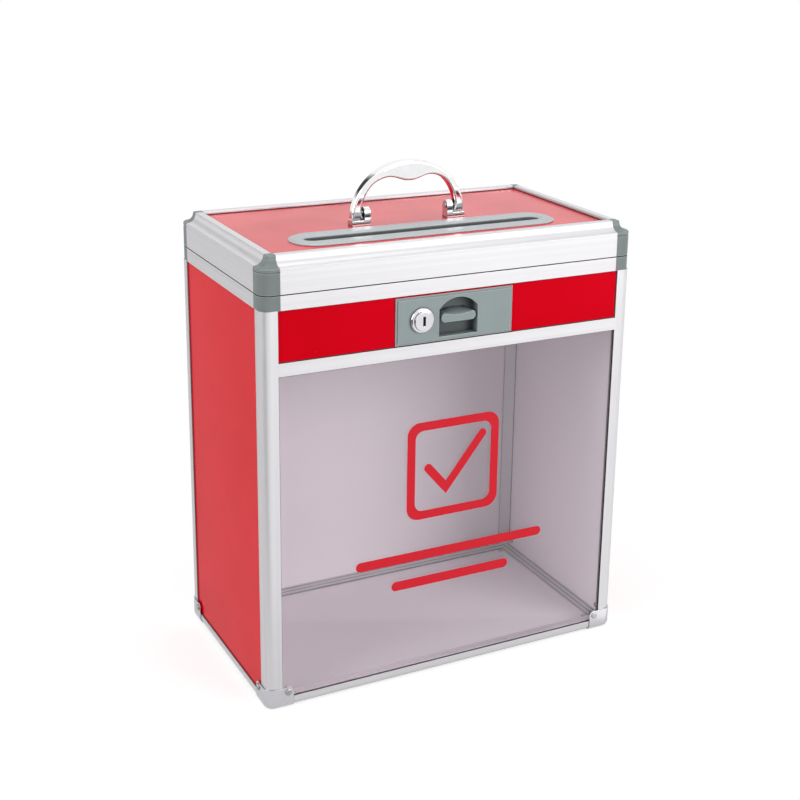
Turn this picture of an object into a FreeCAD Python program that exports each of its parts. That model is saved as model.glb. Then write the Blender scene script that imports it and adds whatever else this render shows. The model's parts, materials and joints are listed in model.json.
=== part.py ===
import FreeCAD, Part
import math
import os

V = FreeCAD.Vector

# All sizes are in millimetres. X runs to the right, Y to the back, Z up; the floor is at Z = 0.

# Body frame and panels
frame_width = 360.0
frame_depth = 202.0
body_height = 363.5
skin = 1.2
panel_thickness = 4.0
panel_play = 0.1
edge_play = 0.3
cut_overrun = 5.0

# Corner posts and bottom rails
post_wing = 14.4
post_radius = 8.0
rail_wing = 8.8
rail_floor_wing = 16.5
rail_radius = 4.5

# Rail between the front strip and the window
mid_rail_height = 11.5
mid_rail_web = 3.0
front_strip_height = 44.8

# Rim on top of the body
rim_height = 12.5
rim_groove_depth = 8.0
tongue_height = 6.0
tongue_rear_setback = 25.0
corner_radius = 10.0
corner_reach = 17.0
corner_wall = 3.0
corner_slope = 2.0
corner_groove_drop = 2.6
corner_groove_depth = 0.8

# Lid frame
split_gap = 1.0
lid_band_height = 21.2
lid_skin = 1.3
ridge_step = 0.9
cove_radius = 8.1
lip_edge = 0.8
lip_reach = 16.5
lip_drop = 3.0
lid_groove_reach = 11.0
lid_flange = 1.2
tongue_room = 1.6

# Ball corners and their rivets
cap_sheet = 1.0
cap_skirt_height = 20.0
ear_radius = 5.0
ear_reach = 19.5
ear_height = 15.4
floor_ear_reach = 19.3
cap_inner_strip = 1.5
cap_edge_strip = 5.0
rivet_radius = 1.6
rivet_head_radius = 3.0
rivet_head_height = 1.2
rivet_head_round = 0.7
rivet_tail_radius = 2.4
rivet_tail_height = 0.8
hole_play = 0.05

# Lid and lock fittings sit a little left of the middle
fittings_x = -2.5

# Slot bezel
bezel_length = 258.0
bezel_width = 47.0
bezel_rise = 2.0
bezel_edge = 0.7
bezel_bevel = 3.0
bezel_from_front = 57.0
slot_length = 232.0
slot_width = 15.5
slot_bevel = 3.0
slot_bevel_depth = 1.5
bezel_neck_wall = 2.0
bezel_neck_drop = 1.5
bezel_neck_play = 0.3

# Carrying handle, its brackets and pins
handle_from_front = 94.4
handle_pivot_rise = 11.5
handle_leg_drop = 4.6
handle_height = 48.8
handle_inner_half_span = 45.0
handle_leg_width = 11.2
handle_arch_centre = 12.0
handle_grip_thickness = 17.8
handle_leg_depth = 7.5
handle_grip_depth = 13.0
handle_edge_round = 2.2
handle_round_share = 0.75
# The handle's thickness on rays from the arch's centre, level at the leg first, upright at the grip last
handle_thickness_shares = [0.47, 0.42, 0.40, 0.52, 0.78, 0.97, 1.0]
bracket_base_height = 5.0
bracket_base_length = 18.0
bracket_depth = 9.5
bracket_ear_thickness = 6.0
handle_side_play = 0.5
handle_pin_radius = 2.0
handle_pin_head_radius = 3.0
handle_pin_head_height = 0.9
handle_pin_end_gap = 1.5
running_play = 0.05
bracket_screw_radius = 1.5
bracket_screw_head_radius = 3.0
bracket_screw_head_height = 1.6
bracket_screw_bite = 4.0
bracket_screw_spacing = 8.5

# Rear hinges
hinge_offset = 105.0
hinge_length = 44.0
hinge_knuckles = 5
hinge_knuckle_gap = 0.25
hinge_knuckle_radius = 2.8
hinge_standoff = 0.2
hinge_pin_radius = 1.25
hinge_leaf_thickness = 1.2
hinge_leaf_clear = 0.5
hinge_lid_leaf_height = 15.0
hinge_body_leaf_height = 8.0
hinge_rivet_radius = 1.2
hinge_rivet_head_radius = 2.2
hinge_rivet_head_height = 0.8
hinge_rivet_spacing = 16.0

# Lock plate with its thumb recess
plate_height = 42.0
plate_flange = 1.2
plate_raise = 0.9
plate_inset = 2.0
recess_from_plate_end = 53.8
recess_width = 38.0
recess_height = 34.0
recess_arch_rise = 9.5
recess_bottom_gap = 3.8
recess_depth = 10.5
cup_wall = 1.5
cup_play = 0.3

# Thumb lever, hook, pin and spring
pad_width = 33.4
pad_height = 8.0
pad_depth = 9.4
pad_dip = 2.2
pad_swell = 2.4
pad_end_round = 3.4
pad_proud = 0.2
lever_arm_width = 21.6
lever_arm_height = 7.0
lever_opening_height = 12.0
lever_side_play = 0.5
lever_pivot_depth = 17.8
lever_block_front = 4.0
lever_block_rear = 3.0
lever_block_height = 8.0
lever_rise_from_recess = 16.4
lug_thickness = 3.0
lug_height = 9.0
lug_tail = 4.0
lever_pin_radius = 1.5
lever_pin_end = 0.5
spring_radius = 2.6
spring_wire = 0.35
spring_turns = 5
spring_seat_gap = 0.05
spring_press_play = 0.5
spring_from_pivot = 2.6
shelf_half_width = 6.0
shelf_thickness = 1.5
hook_width = 12.0
hook_sheet = 1.2
hook_nose = 0.9
hook_setback = 2.0
hook_nose_height = 3.0
hook_gap = 0.4
hook_above_rim = 1.0

# Strike plate under the front lid rail
strike_sheet = 1.2
strike_side_margin = 6.0
strike_reach_below_rim = 8.0
strike_window_side = 2.5
strike_window_play = 0.8
strike_window_top_play = 2.0
strike_front = 10.0
strike_tab_play = 1.5
strike_tab_depth = 6.0
strike_tab_start = 5.0
strike_rivet_radius = 1.2
strike_rivet_head_radius = 2.2
strike_rivet_head_height = 1.0
strike_rivet_spacing = 17.0

# Cam lock
lock_from_plate_end = 24.5
barrel_radius = 9.5
collar_radius = 11.3
collar_height = 3.0
collar_round = 2.4
plug_radius = 8.4
plug_head_radius = 8.6
plug_proud = 2.0
plug_round = 0.5
barrel_length = 24.0
keyway_height = 8.5
keyway_width = 2.4
keyway_depth = 6.0
nut_flats = 24.0
nut_height = 4.0
nut_cup_gap = 1.3436
nut_gap = 0.1
stub_radius = 4.0
cam_gap = 0.5
cam_thickness = 2.0
cam_hub_radius = 7.0
cam_arm_width = 8.0
cam_length = 39.0
cam_head_reach = 14.0
cam_head_height = 4.0
cam_screw_head_radius = 5.0
cam_screw_head_height = 2.0

# Levels and places that follow from the sizes above
half_width = frame_width / 2
half_depth = frame_depth / 2
groove = panel_thickness + 2 * panel_play
inner_face = skin + groove
frame_thickness = inner_face + skin
panel_outer = skin + panel_play
panel_inner = panel_outer + panel_thickness
frame_bottom = cap_sheet
rail_top = frame_bottom + rail_wing
rim_bottom = body_height
rim_top = rim_bottom + rim_height
lid_bottom = rim_top + split_gap
ridge_level = lid_bottom + lid_band_height
cove_start = ridge_level + ridge_step
cove_level = cove_start + cove_radius
lip_top = cove_level + lip_edge
lip_outer = ridge_step + cove_radius
lid_panel_top = lip_top - lip_drop
lid_panel_bottom = lid_panel_top - panel_thickness
lid_groove_top = lid_panel_top + panel_play
lid_groove_bottom = lid_panel_bottom - panel_play
lid_flange_bottom = lid_groove_bottom - lid_flange
channel_inner = frame_thickness + tongue_room
channel_wall = channel_inner + lid_skin
strip_bottom = rim_bottom - front_strip_height
mid_rail_bottom = strip_bottom - mid_rail_height
mid_rail_level = strip_bottom - mid_rail_height / 2
floor_level = frame_bottom + panel_outer

bezel_y = -half_depth + bezel_from_front
handle_y = -half_depth + handle_from_front
pivot_level = lid_panel_top + handle_pivot_rise
handle_bottom = pivot_level - handle_leg_drop
handle_half_span = handle_inner_half_span + handle_leg_width

hinge_y = half_depth + hinge_standoff + hinge_knuckle_radius
hinge_level = rim_top + split_gap / 2

plate_level = strip_bottom + front_strip_height / 2 - edge_play
plate_bottom = plate_level - plate_height / 2
nut_radius = nut_flats / math.sqrt(3)
lock_to_recess = nut_radius + nut_cup_gap + cup_wall + recess_width / 2
plate_length = lock_from_plate_end + lock_to_recess + recess_from_plate_end
lock_x = fittings_x - plate_length / 2 + lock_from_plate_end
strip_face = -half_depth + panel_outer
flange_face = strip_face - plate_flange
plate_face = flange_face - plate_raise
recess_x = lock_x + lock_to_recess
recess_bottom = plate_bottom + recess_bottom_gap
recess_top = recess_bottom + recess_height
recess_back = plate_face + recess_depth
cup_back = recess_back + cup_wall
lever_level = recess_bottom + lever_rise_from_recess
lever_pivot_y = plate_face + lever_pivot_depth
lever_block_end = lever_pivot_y + lever_block_rear
lever_block_top = lever_level + lever_block_height / 2
lug_inner = lever_arm_width / 2 + lever_side_play
lug_outer = lug_inner + lug_thickness
hook_top = rim_top + hook_above_rim
hook_tip_y = lever_block_end + hook_nose
strike_y = hook_tip_y + hook_gap
strike_rear = strike_y + strike_sheet
strike_bottom = rim_top - strike_reach_below_rim
strike_top = lid_flange_bottom

collar_face = plate_face - collar_height
plug_face = collar_face - plug_proud
barrel_end = plate_face + barrel_length
cam_front = barrel_end + cam_gap
cam_rear = cam_front + cam_thickness


def block(x, y, z):
    """A box between (low, high) pairs along each axis."""
    size = [high - low for low, high in (x, y, z)]
    return Part.makeBox(size[0], size[1], size[2], V(x[0], y[0], z[0]))


def rod(start, end, radius):
    """A round bar from one point to another."""
    direction = end - start
    return Part.makeCylinder(radius, direction.Length, start, direction)


def fused(shapes):
    """One clean solid from solids that overlap or touch."""
    whole = shapes[0]
    for shape in shapes[1:]:
        whole = whole.fuse(shape)
    return whole.removeSplitter()


def polygon(points):
    """A flat face on a closed outline of straight sides."""
    return Part.Face(Part.makePolygon(list(points) + [points[0]]))


def outline(steps, place):
    """A flat face on an outline of straight steps (a, b) and arcs ((a, b) middle, (a, b) end)."""
    edges = []
    here = place(*steps[0])
    ends_at_start = isinstance(steps[-1][0], tuple) and steps[-1][1] == steps[0]
    closing = [] if ends_at_start else [steps[0]]
    for step in steps[1:] + closing:
        if isinstance(step[0], tuple):
            middle, end = place(*step[0]), place(*step[1])
            edges.append(Part.Arc(here, middle, end).toShape())
        else:
            end = place(*step)
            edges.append(Part.LineSegment(here, end).toShape())
        here = end
    return Part.Face(Part.Wire(edges))


def on_side(side, along):
    """The map from (depth behind the outer face, level) to a point on one side of the box."""
    maps = {
        "front": lambda depth, level: V(along, -half_depth + depth, level),
        "rear": lambda depth, level: V(along, half_depth - depth, level),
        "left": lambda depth, level: V(-half_width + depth, along, level),
        "right": lambda depth, level: V(half_width - depth, along, level),
    }
    return maps[side]


def run_of(side):
    """The direction along a side and half of the side's length."""
    if side in ("front", "rear"):
        return V(1, 0, 0), half_width
    return V(0, 1, 0), half_depth


def side_bar(side, steps, setback, rear_setback=None):
    """A bar of constant section along one side, set back from its two corners."""
    direction, half = run_of(side)
    end_setback = setback if rear_setback is None else rear_setback
    start = -half + setback
    length = 2 * half - setback - end_setback
    return outline(steps, on_side(side, start)).extrude(direction * length)


def four_corners(shape):
    """The front left corner piece and its three mirror images."""
    right = shape.mirror(V(0, 0, 0), V(1, 0, 0))
    return {
        "front_left": shape,
        "front_right": right,
        "rear_left": shape.mirror(V(0, 0, 0), V(0, 1, 0)),
        "rear_right": right.mirror(V(0, 0, 0), V(0, 1, 0)),
    }


def body_envelope(offset):
    """The body's outer form, rounded at its upright and bottom edges, grown by an offset."""
    x = half_width + offset
    y = half_depth + offset
    low = frame_bottom - offset
    whole = block((-x, x), (-y, y), (low, rim_bottom))
    upright = [e for e in whole.Edges if e.BoundBox.ZLength > rail_wing]
    whole = whole.makeFillet(post_radius + offset, upright)
    bottom = [e for e in whole.Edges if e.BoundBox.ZMax < low + panel_play]
    return whole.makeFillet(rail_radius + offset, bottom)


def corner_section(wing, floor_wing):
    """Outline of a two-groove frame bar: depth in from one face and up from the other."""
    return [
        (0, 0),
        (floor_wing, 0),
        (floor_wing, skin),
        (frame_thickness, skin),
        (frame_thickness, inner_face),
        (floor_wing, inner_face),
        (floor_wing, frame_thickness),
        (frame_thickness, wing),
        (inner_face, wing),
        (inner_face, frame_thickness),
        (skin, frame_thickness),
        (skin, wing),
        (0, wing),
    ]


def bottom_rails(envelope):
    """Four mitred rails with grooves for the walls and the floor."""
    rails = {}
    for side in ("front", "rear", "left", "right"):
        steps = [(depth, frame_bottom + up) for depth, up in corner_section(rail_wing, rail_floor_wing)]
        bar = side_bar(side, steps, 0)
        direction, half = run_of(side)
        reach = half_depth
        flat = on_side(side, -half)(0, 0)
        far = on_side(side, half)(0, 0)
        inward = on_side(side, 0)(1, 0) - on_side(side, 0)(0, 0)
        inner_start = flat + direction * reach + inward * reach
        inner_end = far - direction * reach + inward * reach
        corners = [flat, inner_start, inner_end, far]
        if inner_start.isEqual(inner_end, panel_play):
            corners = [flat, inner_start, far]
        mitre = polygon(corners).extrude(V(0, 0, rail_top))
        rails["bottom_rail_" + side] = bar.common(mitre).common(envelope)
    return rails


def corner_posts(envelope):
    """Four upright posts, each with a groove for the panels on its two sides."""
    def place(a, b):
        return V(-half_width + a, -half_depth + b, rail_top)

    face = outline(corner_section(post_wing, post_wing), place)
    post = face.extrude(V(0, 0, rim_bottom - rail_top)).common(envelope)
    return {"post_" + name: shape for name, shape in four_corners(post).items()}


def wall_panel(side):
    """A wall in the post grooves, with a narrower tongue up into the rim."""
    setback = frame_thickness + edge_play
    low = frame_bottom + frame_thickness + edge_play
    top = rim_bottom + rim_groove_depth - edge_play
    main = side_bar(side, rectangle(panel_outer, panel_inner, low, rim_bottom - edge_play), setback)
    upper = rectangle(panel_outer, panel_inner, rim_bottom - edge_play, top)
    tongue = side_bar(side, upper, corner_reach + edge_play)
    return fused([main, tongue])


def rectangle(depth_from, depth_to, low, high):
    """Outline of a bar that is a plain rectangle."""
    return [(depth_from, low), (depth_to, low), (depth_to, high), (depth_from, high)]


def floor_panel():
    """The floor in the bottom rails' inner grooves."""
    x = half_width - frame_thickness - edge_play
    y = half_depth - frame_thickness - edge_play
    return block((-x, x), (-y, y), (floor_level, floor_level + panel_thickness))


def front_window():
    """The clear sheet between the bottom rail and the mid rail."""
    low = frame_bottom + frame_thickness + edge_play
    high = mid_rail_level - mid_rail_web / 2 - edge_play
    return side_bar("front", rectangle(panel_outer, panel_inner, low, high), frame_thickness + edge_play)


def mid_rail():
    """An H bar that joins the strip to the window."""
    low, high = mid_rail_bottom, strip_bottom
    web_low = mid_rail_level - mid_rail_web / 2
    web_high = mid_rail_level + mid_rail_web / 2
    steps = [
        (0, low),
        (skin, low),
        (skin, web_low),
        (inner_face, web_low),
        (inner_face, low),
        (frame_thickness, low),
        (frame_thickness, high),
        (inner_face, high),
        (inner_face, web_high),
        (skin, web_high),
        (skin, high),
        (0, high),
    ]
    return side_bar("front", steps, post_wing)


def front_strip():
    """The panel above the window, cut out for the lock."""
    low = mid_rail_level + mid_rail_web / 2 + edge_play
    top = rim_bottom + rim_groove_depth - edge_play
    setback = frame_thickness + edge_play
    main = side_bar("front", rectangle(panel_outer, panel_inner, low, rim_bottom - edge_play), setback)
    upper = rectangle(panel_outer, panel_inner, rim_bottom - edge_play, top)
    tongue = side_bar("front", upper, corner_reach + edge_play)
    cup = cup_wall + cup_play
    window = block(
        (recess_x - recess_width / 2 - cup, recess_x + recess_width / 2 + cup),
        (strip_face - cut_overrun, strip_face + panel_thickness + cut_overrun),
        (recess_bottom - cup, recess_top + cup),
    )
    start = V(lock_x, strip_face - cut_overrun, plate_level)
    end = V(lock_x, strip_face + panel_thickness + cut_overrun, plate_level)
    return fused([main, tongue]).cut(window).cut(rod(start, end, barrel_radius + running_play))


def rim_rails():
    """Four rails on top of the walls; three carry the tongue that guides the lid."""
    groove_top = rim_bottom + rim_groove_depth
    rails = {}
    for side in ("front", "rear", "left", "right"):
        plain = [
            (0, rim_bottom),
            (skin, rim_bottom),
            (skin, groove_top),
            (inner_face, groove_top),
            (inner_face, rim_bottom),
            (frame_thickness, rim_bottom),
            (frame_thickness, rim_top),
            (0, rim_top),
        ]
        bar = side_bar(side, plain, corner_reach)
        if side != "rear":
            tongue = rectangle(inner_face, frame_thickness, rim_top - skin, rim_top + tongue_height)
            end = corner_reach if side == "front" else corner_reach + tongue_rear_setback
            bar = fused([bar, side_bar(side, tongue, corner_reach, end)])
        rails["rim_rail_" + side] = bar
    return rails


def corner_ring(low, high):
    """A rounded corner wall of constant height with two straight wings."""
    axis = V(-half_width + corner_radius, -half_depth + corner_radius, 0)
    steps = rectangle(0, corner_wall, low, high)
    turn = outline(steps, on_side("left", axis.y)).revolve(axis, V(0, 0, 1), 90)
    reach = corner_reach - corner_radius
    front = outline(steps, on_side("front", axis.x)).extrude(V(reach, 0, 0))
    left = outline(steps, on_side("left", axis.y)).extrude(V(0, reach, 0))
    return fused([turn, front, left])


def rim_corners():
    """Four plastic corners that join the rim rails above the posts."""
    return {"rim_corner_" + k: s for k, s in four_corners(corner_ring(rim_bottom, rim_top)).items()}


def cove_arc():
    """Middle and end of the hollow curve from the ridge up to the lip."""
    slant = cove_radius * math.sqrt(0.5)
    middle = (ridge_step + slant, cove_level - slant)
    return (middle, (lip_outer, cove_level))


def lid_rails():
    """Four lid rails: upright band, hollow cove, lip, panel groove and a channel over the tongue."""
    steps = [
        (0, lid_bottom),
        (0, ridge_level),
        (ridge_step, cove_start),
        cove_arc(),
        (lip_outer + lip_edge, lip_top),
        (lip_reach - lip_edge, lip_top),
        (lip_reach, lip_top - lip_edge),
        (lip_reach, lid_groove_top),
        (lid_groove_reach, lid_groove_top),
        (lid_groove_reach, lid_groove_bottom),
        (lip_reach, lid_groove_bottom),
        (lip_reach, lid_flange_bottom),
        (channel_wall, lid_flange_bottom),
        (channel_wall, lid_bottom),
        (channel_inner, lid_bottom),
        (channel_inner, lid_flange_bottom - lip_edge),
        (inner_face, ridge_level),
        (lid_skin, cove_start - lid_skin - ridge_step),
        (lid_skin, lid_bottom),
    ]
    sides = ("front", "rear", "left", "right")
    return {"lid_rail_" + side: side_bar(side, steps, corner_reach) for side in sides}


def lid_corners():
    """Four plastic corners whose cove narrows to a tip beside the lid panel."""
    axis = V(-half_width + corner_radius, -half_depth + corner_radius, 0)
    groove_level = ridge_level - corner_groove_drop
    outer = [
        (0, lid_bottom),
        (0, groove_level - corner_groove_depth),
        (corner_groove_depth, groove_level),
        (0, groove_level + corner_groove_depth),
        (0, ridge_level),
        (ridge_step, cove_start),
        cove_arc(),
        (lip_outer + lip_edge, lip_top),
    ]
    inner = [
        (corner_radius, ridge_level - corner_slope),
        (corner_wall, ridge_level - 2 * corner_slope),
        (corner_wall, lid_bottom),
    ]
    turn_steps = outer + [(corner_radius, lip_top)] + inner
    lip = [(lip_reach, lip_top), (lip_reach, lid_groove_top), (corner_radius, lid_groove_top)]
    wing_steps = outer + lip + inner
    turn = outline(turn_steps, on_side("left", axis.y)).revolve(axis, V(0, 0, 1), 90)
    reach = corner_reach - corner_radius
    front = outline(wing_steps, on_side("front", axis.x)).extrude(V(reach, 0, 0))
    left = outline(wing_steps, on_side("left", axis.y)).extrude(V(0, reach, 0))
    return {"lid_corner_" + k: s for k, s in four_corners(fused([turn, front, left])).items()}


def stadium(length, width, level):
    """A round-ended outline centred on the slot."""
    x = length / 2 - width / 2
    y = width / 2
    ends = [V(fittings_x - x, bezel_y, level), V(fittings_x + x, bezel_y, level)]
    left = Part.Arc(ends[0] + V(0, y, 0), ends[0] - V(y, 0, 0), ends[0] - V(0, y, 0)).toShape()
    right = Part.Arc(ends[1] - V(0, y, 0), ends[1] + V(y, 0, 0), ends[1] + V(0, y, 0)).toShape()
    low = Part.LineSegment(ends[0] - V(0, y, 0), ends[1] - V(0, y, 0)).toShape()
    high = Part.LineSegment(ends[1] + V(0, y, 0), ends[0] + V(0, y, 0)).toShape()
    return Part.Wire([left, low, right, high])


def stadium_block(length, width, low, high):
    """A round-ended block of constant outline."""
    return Part.Face(stadium(length, width, low)).extrude(V(0, 0, high - low))


def slot_bezel():
    """A bevelled plastic frame round the ballot slot, with a neck through the lid panel."""
    edge_top = lid_panel_top + bezel_edge
    top = lid_panel_top + bezel_rise
    rim = stadium_block(bezel_length, bezel_width, lid_panel_top, edge_top)
    slope = 2 * bezel_bevel
    foot = stadium(bezel_length, bezel_width, edge_top)
    crown = Part.makeLoft([foot, stadium(bezel_length - slope, bezel_width - slope, top)], True, True)
    neck = stadium_block(
        slot_length + 2 * bezel_neck_wall,
        slot_width + 2 * bezel_neck_wall,
        lid_panel_bottom - bezel_neck_drop,
        edge_top,
    )
    hole = stadium_block(slot_length, slot_width, lid_panel_bottom - cut_overrun, top + cut_overrun)
    mouth = 2 * slot_bevel
    throat = stadium(slot_length, slot_width, top - slot_bevel_depth)
    funnel = Part.makeLoft([throat, stadium(slot_length + mouth, slot_width + mouth, top)], True, True)
    return fused([rim, crown, neck]).cut(hole).cut(funnel)


def bracket_screw_places():
    """The points on the lid panel's underside where the bracket screws enter."""
    inner = handle_inner_half_span - handle_side_play - bracket_ear_thickness
    middle = inner + bracket_base_length / 2
    places = []
    for side in (-1, 1):
        for step in (-1, 1):
            x = fittings_x + side * middle + step * bracket_screw_spacing / 2
            places.append(V(x, handle_y, lid_panel_bottom))
    return places


def lid_panel():
    """The lid's top sheet with the slot opening and the screw holes."""
    x = half_width - lid_groove_reach - edge_play
    y = half_depth - lid_groove_reach - edge_play
    sheet = block((-x, x), (-y, y), (lid_panel_bottom, lid_panel_top))
    grow = 2 * (bezel_neck_wall + bezel_neck_play)
    low = lid_panel_bottom - cut_overrun
    high = lid_panel_top + cut_overrun
    sheet = sheet.cut(stadium_block(slot_length + grow, slot_width + grow, low, high))
    for place in bracket_screw_places():
        end = place + V(0, 0, panel_thickness + cut_overrun)
        sheet = sheet.cut(rod(place - V(0, 0, cut_overrun), end, bracket_screw_radius + hole_play))
    return sheet


def bracket_screws():
    """Screws that hold the handle brackets from inside the lid."""
    screws = []
    for place in bracket_screw_places():
        head = rod(place - V(0, 0, bracket_screw_head_height), place, bracket_screw_head_radius)
        shank = rod(place, place + V(0, 0, panel_thickness + bracket_screw_bite), bracket_screw_radius)
        screws.append(fused([head, shank]))
    return Part.makeCompound(screws)


def handle_bracket():
    """The left L bracket: a base under the leg and a round-topped ear inside it."""
    ear_outer = fittings_x - handle_inner_half_span + handle_side_play
    ear_inner = ear_outer + bracket_ear_thickness
    y = (handle_y - bracket_depth / 2, handle_y + bracket_depth / 2)
    base_x = (ear_inner - bracket_base_length, ear_inner)
    base = block(base_x, y, (lid_panel_top, lid_panel_top + bracket_base_height))
    ear = block((ear_outer, ear_inner), y, (lid_panel_top, pivot_level))
    top = rod(V(ear_outer, handle_y, pivot_level), V(ear_inner, handle_y, pivot_level), bracket_depth / 2)
    bore_start = V(ear_outer - cut_overrun, handle_y, pivot_level)
    bore_end = V(ear_inner + cut_overrun, handle_y, pivot_level)
    bracket = fused([base, ear, top]).cut(rod(bore_start, bore_end, handle_pin_radius + hole_play))
    for place in bracket_screw_places():
        end = place + V(0, 0, panel_thickness + bracket_screw_bite)
        bracket = bracket.cut(rod(place, end, bracket_screw_radius + hole_play))
    return bracket


def mirrored_fitting(shape):
    """The right-hand copy of a left-hand lid fitting."""
    return shape.mirror(V(fittings_x, 0, 0), V(1, 0, 0))


def handle_pins():
    """Two pins, each fixed in a bracket ear and turning in a leg."""
    ear_inner = fittings_x - handle_inner_half_span + handle_side_play + bracket_ear_thickness
    tip = fittings_x - handle_half_span + handle_pin_end_gap
    head_end = V(ear_inner + handle_pin_head_height, handle_y, pivot_level)
    head = rod(V(ear_inner, handle_y, pivot_level), head_end, handle_pin_head_radius)
    shank = rod(V(tip, handle_y, pivot_level), V(ear_inner, handle_y, pivot_level), handle_pin_radius)
    pin = fused([head, shank])
    return Part.makeCompound([pin, mirrored_fitting(pin)])


def polar(centre, radius, angle):
    """A point in a plane at an angle round a centre."""
    return (centre[0] + radius * math.cos(angle), centre[1] + radius * math.sin(angle))


def handle_section(outer, inner):
    """A rounded section of the handle between a point on its outer and one on its inner edge."""
    middle = (outer + inner) * 0.5
    half = (outer - inner).Length / 2
    across = (outer - inner).normalize()
    swell = 1 - ((middle.x - fittings_x) / handle_half_span) ** 2
    depth = (handle_leg_depth + (handle_grip_depth - handle_leg_depth) * swell) / 2
    edge = min(handle_edge_round, handle_round_share * half)
    bulge = edge * (1 - math.sqrt(0.5))
    steps = [
        (half, -depth + edge),
        (half, depth - edge),
        ((half - bulge, depth - bulge), (half - edge, depth)),
        (-half + edge, depth),
        ((-half + bulge, depth - bulge), (-half, depth - edge)),
        (-half, -depth + edge),
        ((-half + bulge, -depth + bulge), (-half + edge, -depth)),
        (half - edge, -depth),
        ((half - bulge, -depth + bulge), (half, -depth + edge)),
    ]
    return outline(steps, lambda along, y: middle + across * along + V(0, y, 0)).OuterWire


def handle_stations():
    """Pairs of outer and inner points round the handle, from its right leg to its left leg."""
    def place(x, up):
        return V(fittings_x + x, handle_y, handle_bottom + up)

    steps = len(handle_thickness_shares) - 1
    centre_share = handle_arch_centre / handle_height
    stations = [(place(handle_half_span, 0), place(handle_inner_half_span, 0))]
    for index in range(2 * steps + 1):
        angle = math.pi * index / (2 * steps)
        cosine, sine = math.cos(angle), math.sin(angle)
        square = (cosine / handle_half_span) ** 2 + (sine / handle_height) ** 2
        linear = centre_share * sine / handle_height
        reach = (math.sqrt(linear ** 2 + square * (1 - centre_share ** 2)) - linear) / square
        thickness = handle_grip_thickness * handle_thickness_shares[min(index, 2 * steps - index)]
        outer = place(reach * cosine, handle_arch_centre + reach * sine)
        reach = reach - thickness
        stations.append((outer, place(reach * cosine, handle_arch_centre + reach * sine)))
    stations.append((place(-handle_half_span, 0), place(-handle_inner_half_span, 0)))
    return stations


def carrying_handle():
    """An elliptic arch with a belly grip, slimmer at the legs and shoulders than at the grip."""
    sections = [handle_section(outer, inner) for outer, inner in handle_stations()]
    handle = Part.makeLoft(sections, True, False)
    for side in (-1, 1):
        tip = fittings_x + side * (handle_half_span - handle_pin_end_gap + running_play)
        mouth = fittings_x + side * (handle_inner_half_span - cut_overrun)
        start = V(mouth, handle_y, pivot_level)
        handle = handle.cut(rod(start, V(tip, handle_y, pivot_level), handle_pin_radius + running_play))
    return handle


def hinge_leaf(middle, upward):
    """One leaf of a rear hinge with its share of the knuckles."""
    pitch = hinge_length / hinge_knuckles
    reach = hinge_knuckle_radius + hinge_leaf_clear
    sign = 1 if upward else -1
    height = hinge_lid_leaf_height if upward else hinge_body_leaf_height
    start = hinge_level + sign * reach
    end = start + sign * height
    y = (half_depth, half_depth + hinge_leaf_thickness)
    x = (middle - hinge_length / 2, middle + hinge_length / 2)
    leaf = block(x, y, (min(start, end), max(start, end)))
    parts = [leaf]
    first = 1 if upward else 0
    for index in range(first, hinge_knuckles, 2):
        low = middle - hinge_length / 2 + index * pitch + hinge_knuckle_gap / 2
        high = low + pitch - hinge_knuckle_gap
        parts.append(rod(V(low, hinge_y, hinge_level), V(high, hinge_y, hinge_level), hinge_knuckle_radius))
        parts.append(block((low, high), y, (min(hinge_level, start), max(hinge_level, start))))
    bore_end = hinge_length / 2 + cut_overrun
    bore = rod(
        V(middle - bore_end, hinge_y, hinge_level),
        V(middle + bore_end, hinge_y, hinge_level),
        hinge_pin_radius + running_play,
    )
    leaf = fused(parts).cut(bore)
    return drill_holes(leaf, hinge_rivet_places(middle, upward), hinge_rivet_radius)


def hinge_rivet_places(middle, upward):
    """The points on the outer wall where a leaf is riveted."""
    reach = hinge_knuckle_radius + hinge_leaf_clear
    height = hinge_lid_leaf_height if upward else hinge_body_leaf_height
    level = hinge_level + (1 if upward else -1) * (reach + height / 2)
    return [V(middle + step * hinge_rivet_spacing, half_depth, level) for step in (-1, 0, 1)]


def drill_holes(shape, places, radius):
    """Cuts round holes along Y at places on a rear wall."""
    reach = V(0, cut_overrun, 0)
    for place in places:
        shape = shape.cut(rod(place - reach, place + reach, radius + hole_play))
    return shape


def hinge_rivets(upward, wall):
    """The rivets that hold both leaves of one kind to the wall behind them."""
    rivets = []
    for middle in (-hinge_offset, hinge_offset):
        for place in hinge_rivet_places(middle, upward):
            face = place + V(0, hinge_leaf_thickness, 0)
            head = rod(face, face + V(0, hinge_rivet_head_height, 0), hinge_rivet_head_radius)
            shank = rod(place - V(0, wall, 0), face, hinge_rivet_radius)
            rivets.append(fused([head, shank]))
    return Part.makeCompound(rivets)


def rear_hinges():
    """Leaves and pins of the two hinges."""
    middles = (-hinge_offset, hinge_offset)
    half = hinge_length / 2
    pins = []
    for middle in middles:
        start = V(middle - half, hinge_y, hinge_level)
        pins.append(rod(start, V(middle + half, hinge_y, hinge_level), hinge_pin_radius))
    return {
        "hinge_body_leaves": Part.makeCompound([hinge_leaf(m, False) for m in middles]),
        "hinge_lid_leaves": Part.makeCompound([hinge_leaf(m, True) for m in middles]),
        "hinge_pins": Part.makeCompound(pins),
    }


def corner_rivet_places():
    """Start on the cap and direction inward of the three rivets of the front left ball corner."""
    x, y, z = -half_width, -half_depth, frame_bottom
    return [
        (V(x + ear_reach, y, ear_height), V(0, 1, 0)),
        (V(x, y + ear_reach, ear_height), V(1, 0, 0)),
        (V(x + floor_ear_reach, y + floor_ear_reach, z), V(0, 0, 1)),
    ]


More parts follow.
